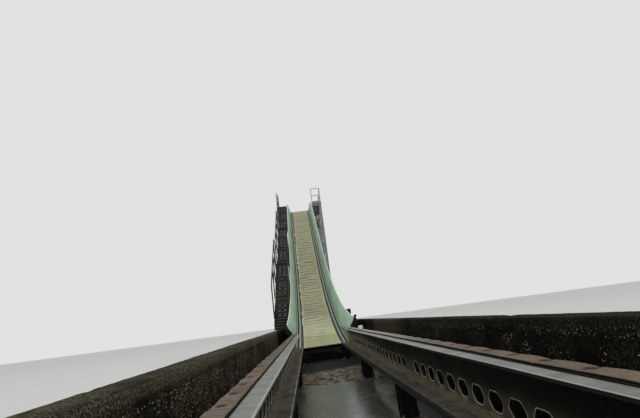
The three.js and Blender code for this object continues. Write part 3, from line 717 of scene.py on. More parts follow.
# Colours of the paint, the dirt, the rust and a rubbed edge, then what makePaintMaterial takes after them
paints = {
    # Ledge: its low colour is near-black, painted shade on the front face under the top
    "ledge": (((0.108, 0.097, 0.07), (0.042, 0.036, 0.026), (0.07, 0.037, 0.018), (0.22, 0.22, 0.18)),
              0.55, 0.55, 0.3, ((0.01, 0.0095, 0.0075), 0.58, 0.596, 0.0, 1.0), 4.5),
    # Web: the near-black paint is partly painted shade under the plate's overhang; its low colour is partly
    # dirt, partly painted light near the holes
    "web": (((0.0045, 0.0043, 0.0035), (0.01, 0.009, 0.006), (0.02, 0.012, 0.007), (0.03, 0.029, 0.024)),
            0.4, 0.65, 0.12, ((0.2, 0.185, 0.12), 0.66, 0.79, 0.1, 0.4)),
    # Rim: pale, partly its own colour and partly painted highlight on edges
    "rim": (((0.4, 0.385, 0.3), (0.11, 0.098, 0.066), (0.06, 0.035, 0.018), (0.4, 0.39, 0.32)), 0.45),
    "edge": (((0.13, 0.122, 0.092), (0.04, 0.035, 0.025), (0.06, 0.035, 0.018), (0.17, 0.16, 0.13)),
             0.6, 0.55, 0.3, None, 5.0),
    "pad": (((0.2, 0.17, 0.125), (0.04, 0.034, 0.026), (0.075, 0.058, 0.042), (0.3, 0.27, 0.21)),
            0.5, 0.6, 0.3, None, 9.0),
    "cover": (((0.02, 0.0185, 0.013), (0.034, 0.029, 0.018), (0.04, 0.023, 0.012), (0.09, 0.087, 0.07)),
              0.5, 0.55, 0.2),
    "black": (((0.008, 0.008, 0.0075), (0.018, 0.016, 0.012), (0.04, 0.021, 0.012), (0.07, 0.07, 0.062)),
              0.35, 0.5, 0.2),
    # Nosing: pale paint as painted highlight on the stair's edges
    "nosing": (((0.19, 0.188, 0.172), (0.03, 0.028, 0.022), (0.055, 0.032, 0.018), (0.4, 0.4, 0.37)),
               0.45, 0.45),
}
looks = {
    "wallLeft": makeWallMaterial("wallConcreteLeft", 1.08, 60.0, 0.26, 0.85, 0.55, 0.5, 0.22, 0.7, -5.6),
    "wallRight": makeWallMaterial("wallConcreteRight", 1.1, 84.0, 0.34, 0.18, 0.05, 0.95, 0.1, 0.76, -7.1),
    "floor": makeFloorMaterial(),
    "stair": makeStairMaterial(),
    "disc": makePlasticMaterial("paleDiscs", (0.62, 0.62, 0.58), (0.16, 0.15, 0.12), 0.45),
    "plate": makeWornShadedSteelMaterial("wornShadedPlate", (0.315, 0.318, 0.29), (0.095, 0.096, 0.083), 0.8),
    "rail": makeWornShadedSteelMaterial("wornShadedRail", (0.29, 0.29, 0.265), (0.12, 0.118, 0.104), 0.5),
    "belt": makeBeltMaterial(),
    "bed": makeBedMaterial(),
    "panel": makePanelMaterial(),
    "zinc": makeZincMaterial("galvanisedSteel", (0.34, 0.35, 0.35), (0.2, 0.21, 0.21), 0.14),
    "bolt": makeZincMaterial("zincBolts", (0.4, 0.4, 0.39), (0.22, 0.22, 0.21), 0.3),
    "trim": makePlasticMaterial("paleTrim", (0.66, 0.7, 0.6), (0.2, 0.2, 0.13), 0.4),
    "box": makePlasticMaterial("whiteBox", (0.93, 0.93, 0.91), (0.74, 0.72, 0.67), 0.45),
    "dirt": makeDirtMaterial(),
    **{key: makePaintMaterial(f"{key}Paint", *values) for key, values in paints.items()},
}

# Looks of each slot: the first one is for the solids, and pieces of the scene wear any of them
slotLooks = {
    "wall_concrete": ("wallLeft", "wallRight"), "floor_concrete": ("floor",), "worn_steel": ("plate", "rail"),
    "black_steel": ("black", "nosing", "pad", "stair"), "belt_rubber": ("belt",), "bed_plastic": ("bed",),
    "track_steel": ("ledge", "web", "rim", "edge", "dirt", "cover"), "grey_steel": ("zinc", "bolt"),
    "panel_plastic": ("panel",), "edge_plastic": ("trim", "disc"), "box_plastic": ("box",),
}
slotOf = {look: slotName for slotName, names in slotLooks.items() for look in names}
for subpart in frame["record"]["subparts"]:
    name = subpart["node"]
    look = "web" if name.startswith("guide_web") else slotLooks[subpart["material_slot"]][0]
    look = "stair" if name.startswith("stair") else look
    cadNodes[name].data.materials.clear()
    cadNodes[name].data.materials.append(looks[look])
print("materials made:", len(looks))


def makePiece(name, part, look, replaced=(), sharpAngle=35.0, slotName=None):
    # One object from a part, smooth up to the sharp angle; the slot, its look's unless another is named, is
    # not used
    slotName = slotName or slotOf[look]
    mesh = bpy.data.meshes.new(name)
    faces = part["quads"].tolist() + [cap.tolist() for cap in part["caps"]]
    mesh.from_pydata(part["points"].tolist(), [], faces)
    mesh.shade_smooth()
    mesh.set_sharp_from_angle(angle=math.radians(sharpAngle))
    for key, values in part["masks"].items():
        layer = mesh.attributes.new(key, "FLOAT", "POINT")
        layer.data.foreach_set("value", np.asarray(values, np.float32).ravel())
    mesh.materials.append(looks[look])
    piece = bpy.data.objects.new(name, mesh)
    bpy.context.scene.collection.objects.link(piece)
    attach(piece, "root")
    if replaced:
        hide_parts(*replaced)


# Channel: walls with coarse faces, and a floor with silt and puddles

wall = {
    "inside": 1.09, "outside": 1.31, "top": {"left": 1.08, "right": 1.1}, "chamfer": 0.012, "step": 0.026,
    "counts": (34, 2, 9, 2, 12), "coarse": 0.0035, "fine": 0.0022, "swell": 0.003, "cells": (0.09, 0.03, 0.9),
    "joints": (-18.1, -10.93, -7.2, -3.4), "jointWidth": 0.012, "jointDepth": 0.008, "line": 0.108,
    "lineDepth": 0.006, "lineWidth": 0.008, "chip": 0.008, "chipCell": 0.16, "chipLevels": (0.75, 0.98),
    "chipHeight": 0.03, "smoothBand": (0.125, 0.1), "smoothness": 0.75, "seatHeight": 0.03,
}


def wallPart(word):
    # Section carried along y: each point sinks inwards by noise of y and of the length round the section
    w, side, low, top, cut = wall, sides[word], floorZ, wall["top"][word], wall["chamfer"]
    corners = np.array([[w["inside"], low], [w["inside"], top - cut], [w["inside"] + cut, top],
                        [w["outside"] - cut, top], [w["outside"], top - cut], [w["outside"], low]])
    faces = [a + (b - a) * np.linspace(0, 1, count, endpoint=False)[:, None]
             for a, b, count in zip(corners[:-1], corners[1:], w["counts"])]
    section = np.concatenate(faces + [corners[-1:]])
    level = section[:, 1]
    along = np.gradient(section, axis=0)
    normal = unit(np.stack([-along[:, 1], along[:, 0]], 1))
    girth = np.concatenate([[0], np.cumsum(np.linalg.norm(np.diff(section, axis=0), axis=1))])
    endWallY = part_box("channel_wall_left")[1].y
    joints = np.array(w["joints"])
    near = (joints[:, None] + np.array([-1.0, -0.5, 0.0, 0.5, 1.0]) * w["jointWidth"]).ravel()
    y = np.unique(np.concatenate([np.arange(startY, endWallY, w["step"]), near, [endWallY]]))[:, None]
    seed = 11 + 10 * side
    coarse, fine, swell = (1 + softNoise(y, girth, cell, seed + k) for k, cell in enumerate(w["cells"]))
    smooth = w["smoothness"] * eased(level, *(top - depth for depth in w["smoothBand"]))
    sink = (w["coarse"] * coarse + w["fine"] * fine) * (1 - smooth)
    chips = w["chip"] * eased(softNoise(y, 0 * girth, w["chipCell"], seed + 3), *w["chipLevels"])
    line = w["lineDepth"] * np.exp(-((level - top + w["line"]) / w["lineWidth"]) ** 2)
    sink = sink + w["swell"] * swell + line
    sink = sink + chips * eased(level, top - w["chipHeight"], top)
    gap = np.exp(-(np.abs(y - joints).min(1) / (0.45 * w["jointWidth"])) ** 4)[:, None]
    sink = (sink + w["jointDepth"] * gap) * eased(level, low, low + w["seatHeight"])
    face = section - sink[..., None] * normal
    return carried(points3(side * face[..., 0], y, face[..., 1]))


floorShape = {
    "step": 0.04, "inside": 1.09, "swell": 0.003, "grain": 0.0012, "waterZ": 0.2012, "footWater": 0.0032,
    "siltStart": -8.85, "siltEnd": -7.25, "siltHeight": 0.026, "siltHalf": (0.62, 0.95), "mudStart": -7.35,
    "clod": 0.01, "lump": 0.006, "cells": (0.7, 0.12, 0.55, 0.13, 0.16, 0.08, 0.2, 0.08), "seed": 41,
}


def floorPart():
    # Slab whose top is noise about the water level, raised by a bank of silt and level where water stands
    f = floorShape
    inside, start, end, shore = f["inside"], f["siltStart"], f["siltEnd"], f["mudStart"]
    low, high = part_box("channel_floor")
    y = np.linspace(low.y, high.y, int((high.y - low.y) / f["step"]))
    x = np.concatenate([[low.x], np.linspace(-inside, inside, 56), [high.x]])
    y, x = np.meshgrid(y, x, indexing="ij")
    swell, grain, bend, waver, lump, crumb, clod, grit = (
        softNoise(x, y, cell, f["seed"] + k) for k, cell in enumerate(f["cells"]))
    wobble = 0.3 * bend + 0.1 * waver
    bank = eased(y + wobble, start - 0.15, start + 0.3) * (1 - eased(y + wobble, end - 0.5, end + 0.4))
    bank = bank * (1 - eased(np.abs(x - 0.02) + 0.5 * wobble, *f["siltHalf"]))
    lumps = 1 + 0.7 * lump + 0.6 * crumb
    # Mud under the slide, whose colour is painted near-black as shade
    mud = eased(y + 1.3 * wobble, shore - 0.35, shore + 0.55)
    level = floorZ - 0.0015 + f["swell"] * swell + f["grain"] * grain
    level = level + bank * f["siltHeight"] * lumps + mud * (f["clod"] * (1 + clod) + f["lump"] * grit)
    pull = eased(np.abs(x), inside - 0.08, inside)
    level = level * (1 - pull) + floorZ * pull
    depth = f["waterZ"] + f["footWater"] * eased(start - 0.2 - y, 0, 0.8) - level
    top = np.maximum(level, f["waterZ"])
    top[:, [0, 1, -2, -1]] = floorZ
    water = eased(depth, 0.0, 0.0016) * (1 - mud)
    silt = eased(bank * lumps, 0.12, 0.5)
    return slab(points3(x, y, top), points3(x[:, ::-1], y, low.z), water=water, silt=silt, mud=mud)


for word in sides:
    makePiece(f"wall_face_{word}", wallPart(word), f"wall{word.title()}", [f"channel_wall_{word}"], 60.0)
makePiece("silted_floor", floorPart(), "floor", ["channel_floor"], 50.0)
print("channel made")


# Run-out tracks

track = {
    "bay": 3.3, "lastBayEnd": -0.15, "postY": (-0.15, -3.85, -6.75, -10.05, -13.35), "postX": 0.6,
    "plateZ": 0.935, "plateTop": 0.95, "plateInside": 0.53, "plateOutside": 0.75, "plateNotch": 0.672,
    "plateEnd": -0.35, "plateOuterEnd": -0.655, "joint": 0.003, "grooveOutside": 0.636,
    "grooveWidth": {"left": 0.007, "right": 0.018}, "edgeMask": {"left": (-0.5, 0.1), "right": (1, 0.6)},
    "ledgeTop": 0.6, "ledgeInside": 0.5, "webInside": 0.68, "webOutside": 0.692,
}
bayEnds = footY + track["lastBayEnd"] - track["bay"] * np.arange(5)


def plateRun(word, x0, x1, y0, y1, seed):
    # Profile across the plate, with a groove beside the belt painted black as shade, carried along y with a
    # slight warp
    # Its inner arris is bright, partly wear and partly painted highlight; its inner side face is painted
    # black as shade on the right and bright at its top on the left; the right-hand plate darkens towards the
    # belt
    top, low, g1 = track["plateTop"], track["plateZ"], track["grooveOutside"]
    g0 = g1 - track["grooveWidth"][word]
    face, edgeMask = track["edgeMask"][word]
    outline = [[x0, low, 1], [x0, low + 0.003, max(face, 0.5)], [x0, top - 0.001, face],
               [x0 + 0.001, top, -0.5], [x0 + 0.005, top, -0.5], [x0 + 0.014, top, 0], [x0 + 0.05, top, 0],
               [g0 - 0.02, top, 0], [g0 - 0.003, top, edgeMask], [g0, top - 0.001, 0.9]]
    if x1 > g1:
        outline += [[g0 + 0.001, top - 0.009, 1], [g1 - 0.001, top - 0.009, 1], [g1, top - 0.001, 1]]
    x, z, groove = np.array(outline + [[x1 - 0.002, top, 0.4], [x1, top - 0.002, 0.8], [x1, low, 1]]).T
    y = np.linspace(y0, y1, max(2, int((y1 - y0) / 0.08)))[:, None]
    drop = 0.0022 * (1 - np.clip((x - x0) / 0.1, 0, 1)) * (1 + softNoise(y, x, 0.45, seed + 1))
    warp = 0.0012 * softNoise(y, 0 * x, 0.7, seed)
    return carried(points3(sides[word] * (x + warp), y, z - drop), groove=groove)


def topPlatePart(word):
    # Four lengths along the track and a narrow last one, which is cut off at a slant
    inside, outerEnd, tipEnd = track["plateInside"], footY + track["plateOuterEnd"], footY + track["plateEnd"]
    ends = np.concatenate([[outerEnd], bayEnds[1:4] + 0.4, [startY]])
    runs = [plateRun(word, inside, track["plateOutside"], ends[k + 1], ends[k] - (track["joint"] if k else 0),
                     60 + 3 * k) for k in range(4)]
    tip = plateRun(word, inside, track["plateNotch"] - 0.03, outerEnd + 0.001, tipEnd, 90)
    x, y = tip["points"][:, :2].T
    y -= np.where(y > tipEnd - 0.05, 0.26 * (1 - np.clip((np.abs(x) - inside) / 0.11, 0, 1)), 0)
    return joined(runs + [tip])


belt = {
    "inside": 0.639, "outside": 0.739, "base": 0.9502, "top": 0.9595, "pitch": 0.302, "firstBolt": -14.823,
    "end": -0.76, "valley": 0.004, "valleyWidth": 0.011, "boltX": 0.7, "slotWide": 0.023, "slotLong": 0.034,
    "slotDepth": 0.006, "lift": {"left": 0.0055, "right": 0.003}, "scallop": {"left": 0.01, "right": 0.005},
    "toneSpread": {"left": 0.9, "right": 0.5}, "rim": {"left": 0.35, "right": 0.9},
    "joints": {"left": (-14.62,), "right": ()},
}
boltY = np.arange(belt["firstBolt"] - belt["pitch"] * 12, footY + belt["end"] - 0.05, belt["pitch"])


def beltPart(word):
    # Strip that rises and widens between its bolts by a cosine of their pitch, sunk in an oval at each bolt
    b, side = belt, sides[word]
    end = footY + b["end"]
    y = np.append(np.arange(startY, end, b["pitch"] / 30), end)[:, None]
    phase = (y - b["firstBolt"]) / b["pitch"]
    offset = (phase - np.round(phase)) * b["pitch"]
    bulge = (0.5 - 0.5 * np.cos(2 * np.pi * phase)) ** 0.6
    valley = np.exp(-(offset / b["valleyWidth"]) ** 2)
    cut = sum(np.exp(-((y - place) / 0.007) ** 2) for place in b["joints"][word]) + 0 * y
    wander = 0.003 * softNoise(y, 0 * y, 0.33, 7 + side)
    share = np.array([0.0, 0.03, 0.14, 0.28, 0.38, 0.46, 0.54, 0.62, 0.7, 0.8, 0.9, 0.97, 1.0])
    fromMiddle = np.abs(share - 0.5)
    inner = b["inside"] + wander
    outer = b["outside"] - b["scallop"][word] * (1 - bulge) + wander
    x = inner + (outer - inner) * share
    slot = np.exp(-(((x - b["boltX"]) / b["slotWide"]) ** 2 + (offset / b["slotLong"]) ** 2) ** 4)
    lift = b["lift"][word] * bulge * (0.3 + 0.7 * share) - b["valley"] * valley * (0.4 + 0.6 * share)
    lift = lift - b["slotDepth"] * slot - 0.004 * cut - 0.002 * (fromMiddle > 0.48)
    inset = 0.004 * (fromMiddle > 0.45) * np.sign(0.5 - share)
    edge = b["rim"][word] * (share < 0.02) + 0.55 * (share > 0.98)
    # Darkened: slots, creases at the bolts and the edges as painted shade, and the joints as dark joints
    dark = np.clip(slot * 1.2 + 0.55 * valley * share + cut + edge, 0, 1)
    tones = np.random.default_rng(7 + side).uniform(0, 1, 80)[(np.floor(phase) % 80).astype(int)]
    tone = 0.5 + (tones - 0.5) * b["toneSpread"][word] + 0 * x
    top, bottom = points3(side * x, y, b["top"] + lift), points3(side * (x + inset)[:, ::-1], y, b["base"])
    return slab(top, bottom, {"slot": 1, "tone": tone}, slot=dark, tone=tone)


def beltBoltPart(side):
    # Flat round head on a washer, sunk in the oval at each bolt
    washer = turnedPart([0.0135, 0.015, 0.015], [-0.004, -0.004, 0.0006], 12)
    head = turnedPart([0.0085, 0.0095, 0.0088, 0.004], [0.0, 0.0012, 0.003, 0.004], 12)
    y = boltY[boltY > startY + 0.02]
    return copied(joined([washer, head]), points3(side * belt["boltX"], y, belt["top"] - 0.008))


hole = {"pitch": 0.25, "length": 0.2, "height": 0.11, "corner": 0.045, "z": 0.69, "count": 12, "missing": 4,
        "rim": 0.0025, "bead": 0.003, "round": 0.018}


def rimPart(side):
    # Square bead carried round each hole's six-sided outline on the web's inner face, its corners rounded
    half, tall, inner = hole["length"] / 2, hole["height"] / 2, hole["length"] / 2 - hole["corner"]
    corners = [[-half, 0], [-inner, tall], [inner, tall], [half, 0], [inner, -tall], [-inner, -tall]]
    path = rounded(corners, hole["round"])
    along = np.roll(path, -1, 0) - np.roll(path, 1, 0)
    out = unit(np.stack([along[:, 1], -along[:, 0]], 1))
    out = out * np.sign((out * path).sum(1))[:, None]
    across, deep = np.array([[-0.002, 0.0], [-0.002, 1.0], [hole["bead"], 1.0], [hole["bead"], 0.0]]).T
    flat = path[:, None] + out[:, None] * across[:, None]
    x = side * (track["webInside"] + 0.002 - deep * (hole["rim"] + 0.002))
    middle = (np.arange(hole["count"]) - (hole["count"] - 1) / 2) * hole["pitch"]
    counts = [hole["count"] - hole["missing"]] + [hole["count"]] * 3
    y = np.concatenate([end + track["bay"] / 2 + middle[:count] for end, count in zip(bayEnds[1:], counts)])
    return copied(carried(points3(x, flat[..., 0], flat[..., 1]), True), points3(0, y, hole["z"]))


dirt = {"width": 0.066, "wander": 0.018, "height": 0.028}


def ledgeDirtPart(side):
    # Bank of dirt against the web: it rises by an eased curve towards the web, and noise makes it lumpy
    seed, ledge = 70 + 5 * side, track["ledgeTop"]
    y = np.arange(startY, footY - 0.05, 0.03)[:, None]
    across = np.linspace(0, 1, 13)
    wander = dirt["wander"] * (softNoise(y, 0 * across, 0.5, seed) + softNoise(y, across, 0.11, seed))
    x = track["webInside"] - 0.001 - (dirt["width"] + wander) * (1 - across)
    lumps = 1 + 0.45 * softNoise(y, x, 0.16, seed + 1) + 0.45 * softNoise(y, x, 0.05, seed + 2)
    thick = dirt["height"] * (0.2 * eased(across, 0, 0.2) + 0.8 * eased(across, 0.4, 1)) * lumps
    return slab(points3(side * x, y, ledge + thick), points3(side * x[:, ::-1], y, ledge - 0.001))


ledgeEdge = {"out": 0.001, "wide": 0.009, "low": 0.59, "high": 0.6035, "end": -0.06}


def ledgeEdgePart(side):
    # Square bar welded along the ledge's inner edge
    inner = track["ledgeInside"] - ledgeEdge["out"]
    outer, farY = inner + ledgeEdge["wide"], footY + ledgeEdge["end"]
    return boxPart((side * inner, startY, ledgeEdge["low"]), (side * outer, farY, ledgeEdge["high"]))


cover = {"width": 0.17, "low": 0.655, "high": 0.915, "thickness": 0.007}


def webCoverPart(side):
    # Cover plate with two columns of bolts over each joint of the web, on the side that faces the wall
    half, tall, thick = cover["width"] / 2, cover["high"] - cover["low"], cover["thickness"]
    plate = platePart(rounded(rectangle(-half, 0, half, tall), 0.012, 2), thick, origin, yAxis, zAxis)
    u, v = np.meshgrid([-half * 0.55, half * 0.55], np.linspace(0.035, tall - 0.035, 4))
    part = joined([plate, boltsPart("cover", points3(side * thick / 2, u, v), [side, 0, 0])])
    return copied(part, points3(side * (track["webOutside"] + thick / 2), bayEnds[1:4], cover["low"]))


strut = {
    "y": -0.675, "thickness": 0.022, "foot": (0.702, 0.75), "outer": 0.884, "head": (0.868, 1.22),
    "radius": 0.032, "bolts": ((0.868, 1.22), (0.85, 1.1), (0.76, 0.985)),
}


def panelStrutPart(side):
    # Plate that follows the panel's free end, upright on its outer edge, with a rounded head
    s, low, y = strut, track["plateTop"] + 0.0005, footY + strut["y"]
    turn = np.linspace(-0.35, np.pi + 0.15, 9)
    head = np.array(s["head"]) + s["radius"] * np.stack([np.cos(turn), np.sin(turn)], 1)
    outline = [[s["foot"][0], low], [s["foot"][1], low], [0.8, low + 0.012], [s["outer"], low + 0.055],
               [s["outer"], 1.15], [s["outer"] - 0.01, 1.185], *head, [0.8, 1.12], [0.728, 1.02]]
    plate = platePart(outline, s["thickness"], (0, y, 0), side * xAxis)
    flange = boxPart((side * 0.7, footY - 0.7, low), (side * 0.752, footY - 0.655, low + 0.012))
    heads = [[side * x, y - s["thickness"] / 2, z] for x, z in s["bolts"]]
    return joined([plate, flange, boltsPart("strut", heads, [0, -1, 0])])


def sensorBoxPart():
    # Rounded box with a lid, four screws and a cable gland
    low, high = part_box("sensor_box")
    x0, x1, y0, y1 = low.x + 0.002, high.x - 0.016, low.y + 0.001, high.y - 0.001
    outline = rounded(rectangle(x0, y0, x1, y1), 0.01, 4)
    middle = outline.mean(0)
    sizes = np.array([0.97, 1.0, 1.0, 0.96, 0.96, 1.0, 1.0, 0.93])[:, None, None]
    heights = np.array([0.0, 0.003, 0.044, 0.045, 0.047, 0.048, 0.062, 0.066])[:, None]
    flat = middle + (outline - middle) * sizes
    lid = turnedPart([0.0035, 0.0035, 0.002], [0.0, 0.0015, 0.002], 8)
    screws = [[x, y, low.z + 0.0645] for x in (x0 + 0.012, x1 - 0.012) for y in (y0 + 0.012, y1 - 0.012)]
    gland = turnedPart([0.009, 0.009, 0.006, 0.006], [-0.002, 0.008, 0.01, 0.018], 12)
    return joined([carried(points3(flat[..., 0], flat[..., 1], low.z + heights)), copied(lid, screws),
                   copied(gland, (x1, middle[1], low.z + 0.025), turnTo([1, 0, 0]))])


for word, side in sides.items():
    makePiece(f"worn_shaded_plate_{word}", topPlatePart(word), "plate", [f"top_plate_{word}"], 30.0)
    makePiece(f"guide_belt_{word}", beltPart(word), "belt", [f"belt_{word}"], 40.0)
    makePiece(f"belt_bolts_{word}", beltBoltPart(side), "black")
    # Hole rims and the left ledge bar wear pale paint, partly painted highlight on these edges
    makePiece(f"hole_rims_{word}", rimPart(side), "rim")
    makePiece(f"ledge_edge_{word}", ledgeEdgePart(side), "rim" if side < 0 else "edge")
    makePiece(f"ledge_dirt_{word}", ledgeDirtPart(side), "dirt", (), 60.0)
    makePiece(f"web_covers_{word}", webCoverPart(side), "cover")
    makePiece(f"shaped_strut_{word}", panelStrutPart(side), "black", [f"panel_end_strut_{word}"])
makePiece("rounded_box", sensorBoxPart(), "box", ["sensor_box"])
print("tracks made")


# Feet: anchor bolts and stiffeners of posts, legs and landings

feet = {"plate": 0.02, "trackPlate": 0.015, "padHalf": 0.149, "pad": 0.008, "half": 0.12, "boltInset": 0.026,
        "stiffener": 0.008, "reach": 0.04}


def footRows():
    # Middle of each base plate's top, with the plate's half width, the leg's half width and the finish
    half, up, rows = feet["half"], feet["plate"], []
    for side in sides.values():
        rows += [(side * track["postX"], footY + y, floorZ + feet["trackPlate"], 0.11, 0.065, "black")
                 for y in track["postY"]]
    for number in range(1, 5):
        low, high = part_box(f"trestle_{number}")
        rows += [(side * (high.x - half), (low.y + high.y) / 2, low.z + up, 0.12, 0.06, "zinc")
                 for side in sides.values()]
    for word, side in sides.items():
        low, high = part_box(f"tower_side_{word}")
        rows += [(side * (abs(high.x + low.x) / 2), y, up, 0.12, 0.08, "zinc")
                 for y in np.linspace(low.y + half, high.y - half, 3)]
    for number in (1, 2):
        low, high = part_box(f"stair_landing_{number}")
        rows += [(x, y, up, 0.12, 0.045, "black")
                 for x in (low.x + half, high.x - half) for y in (low.y + half, high.y - half)]
    return rows


def anchorPart():
    # Washer, six-sided nut and the end of a threaded bar
    washer = turnedPart([0.02, 0.02, 0.019], [-0.001, 0.0025, 0.003], 12)
    nut = turnedPart([0.0155, 0.0155, 0.0125], [0.002, 0.0135, 0.0155], 6)
    return joined([washer, nut, turnedPart([0.0075, 0.0075, 0.0055], [0.01, 0.03, 0.033], 8)])


def stiffenerPart(plateHalf, legHalf, height):
    # Upright triangular plate from the leg's face to near the edge of its base plate, on all four sides
    reach, root = min(legHalf + feet["reach"], plateHalf - 0.006), legHalf - 0.01
    outline = [[root, -0.001], [reach, -0.001], [reach, 0.014], [legHalf + 0.012, height], [root, height]]
    plate = platePart(outline, feet["stiffener"])
    return joined([copied(plate, origin, turnAboutZ(k * math.pi / 2)) for k in range(4)])


flange = {
    "low": 0.2152, "high": 0.531, "inside": 0.505, "outside": 0.672, "offset": 0.0655, "thickness": 0.01,
}


def postFlangePart(side):
    # Broad flanges on both faces of every track post, so that it reads as a rolled section
    f, thick = flange, flange["thickness"]
    plate = boxPart((side * f["inside"], 0, f["low"]), (side * f["outside"], thick, f["high"]), 0.003)
    shifts = -f["offset"] - thick, f["offset"]
    return copied(plate, [(0, footY + y + shift, 0) for y in track["postY"] for shift in shifts])


for word, side in sides.items():
    makePiece(f"post_flanges_{word}", postFlangePart(side), "black")
rows = footRows()
spread = np.array([[-1, -1, 0], [-1, 1, 0], [1, -1, 0], [1, 1, 0]])     # four bolts in each base plate
anchors = np.concatenate([spread * (row[3] - feet["boltInset"]) + row[:3] for row in rows])

# Round-cornered pads on the channel's floor, only under the track posts, whose base plates are the smallest
half = feet["padHalf"]
pad = platePart(rounded(rectangle(-half, -half, half, half), 0.03, 4), feet["pad"], origin, xAxis, yAxis)
pads = [[row[0], row[1], floorZ + feet["pad"] / 2 - 0.001] for row in rows if row[3] < 0.12]
makePiece("foot_pads", copied(pad, pads), "pad")
makePiece("anchor_bolts", copied(anchorPart(), anchors), "bolt")
for look, name in (("black", "post_stiffeners"), ("zinc", "leg_stiffeners")):
    makePiece(name, joined([copied(stiffenerPart(row[3], row[4], 0.1 if row[3] < 0.12 else 0.15), row[:3])
                            for row in rows if row[5] == look]), look)
print("feet made")


# Slide: rippled bed, lip, rails, side panels and what holds them

bed = {
    "halfWidth": 0.49, "thickness": 0.037, "step": 0.022, "pitch": 0.315, "ripple": 0.0095, "sink": 0.005,
    "swell": 0.002, "fade": (0.1, 1.8), "wander": ((0.34, 0.6, 21), (0.13, 0.24, 22)), "smoothRun": 1.6,
    "smoothX": (0.05, 0.3), "rimDrop": 0.003, "rubbed": 0.35, "clean": 0.5, "cleanStart": (1.2, 2.1),
    "cleanEnd": (2.7, 4.7), "footTan": 0.6, "footTanEnd": (1.0, 2.0), "tanStart": (3.0, 4.9),
    "tanEnd": (5.3, 6.6), "topTan": 0.3, "topTanStart": (7.4, 8.2),
}


def bedPart():
    # Closed strip: its top is a wave of the run with a wandering phase, fading out towards the foot
    # Its right half is smooth at the foot; clean is the stretch that boats wipe, tan the browner ones
    b = bed
    across = np.concatenate([[-1, -0.985], np.linspace(-0.95, 0.95, 15), [0.985, 1]]) * b["halfWidth"]
    s, x = np.meshgrid(runSteps(b["step"]), across, indexing="ij")
    out = np.abs(x)
    phase = s / b["pitch"] + sum(amount * softNoise(x, s, cell, seed) for amount, cell, seed in b["wander"])
    wave = np.cos(2 * np.pi * phase)
    smooth = eased(x, *b["smoothX"])
    fade = eased(s - b["smoothRun"] * smooth, *b["fade"])
    strength = b["ripple"] * fade * (0.75 + 0.45 * softNoise(x, s, 0.6, 23)) * (1 - eased(out, 0.43, 0.475))
    h = wave * strength + b["swell"] * softNoise(x, s, 0.8, 24) * (1 - eased(out, 0.43, 0.47))
    h = h - b["sink"] - b["rimDrop"] * eased(out, 0.48, 0.49)
    dark = eased(-wave, 0.1, 0.75) * (0.15 + 0.85 * fade) * (1 - eased(out, 0.44, 0.47))
    clean = b["clean"] * eased(s, *b["cleanStart"]) * (1 - eased(s, *b["cleanEnd"]))
    edge = np.maximum(b["rubbed"] * eased(out, 0.448, 0.468), clean)
    tan = b["footTan"] * (1 - 0.6 * smooth) * (1 - eased(s, *b["footTanEnd"]))
    tan = tan + eased(s, *b["tanStart"]) * (1 - 0.5 * eased(s, *b["tanEnd"]))
    tan = tan + b["topTan"] * eased(s, *b["topTanStart"])
    return slab(onSlide(s, x, h), onSlide(s, x[:, ::-1], -b["thickness"]), ripple=dark, edge=edge, tan=tan)


def lipPart():
    # Rounded nosing carried across the foot of the bed
    low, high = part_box("slide_lip")
    outline = rounded(rectangle(low.y, low.z, high.y, high.z), 0.009, 4)
    return carried(points3(np.linspace(low.x, high.x, 9)[:, None], outline[:, 0], outline[:, 1]))


rail = {
    "inside": 0.528, "outside": 0.698, "base": -0.012, "top": 0.0, "flangeTop": 0.02, "step": 0.1,
    "flange": (0.655, 0.687), "strip": 0.618, "gutter": -0.006, "lift": 0.002, "seam": (0.534, 0.548),
}


def railPart(side):
    # Wheel strip and a raised bright flange between black gutters: x, h and darkness, carried along the
    # slide; the gutters' black is painted shade, and the bright strip and flange top are partly polish,
    # partly painted highlight
    inside, outside, strip, top, lift = (rail[key] for key in ("inside", "outside", "strip", "top", "lift"))
    crest, gutter = rail["flangeTop"], rail["gutter"]
    (near, far), (seam, seamEnd) = rail["flange"], rail["seam"]
    x, h, groove = np.array([
        [inside, rail["base"], 1], [outside, rail["base"], 1], [outside, gutter, 1], [far, gutter, 1],
        [far, crest - 0.003, 0.5], [far - 0.003, crest, -0.6], [near + 0.003, crest, -0.6],
        [near, crest - 0.003, 0.3], [near, gutter, 1], [strip + 0.012, gutter, 1],
        [strip + 0.004, top - 0.002, 1], [strip, top, 0.7], [strip - 0.008, top + lift * 0.4, 0.1],
        [strip - 0.026, top + lift, -0.35], [strip - 0.052, top + lift, -0.35],
        [seamEnd + 0.006, top + lift * 0.5, 0.2], [seamEnd, top - 0.001, 1], [seamEnd - 0.004, gutter, 1],
        [seam + 0.004, gutter, 1], [seam, top, 0.3], [inside + 0.003, top + 0.001, -0.3],
        [inside, top - 0.002, 0.6],
    ]).T
    return carried(onSlide(runSteps(rail["step"])[:, None], side * x, h), groove=groove)


panel = {
    "foot": -0.13, "top": 0.62, "inside": 0.7, "flare": 0.15, "power": 2.2, "thickness": 0.012,
    "edge": 0.011, "start": -0.65, "step": 0.08, "seed": {"left": 31, "right": 32},
    "ribPitch": 2.88, "ribFirst": 1.08, "ribTop": 0.53, "ribDepth": 0.034, "ribWidth": 0.014,
}


def panelX(h):
    # Upright to the bed's level, then flaring out by a power of the height
    return panel["inside"] + panel["flare"] * (np.maximum(h, 0) / panel["top"]) ** panel["power"]


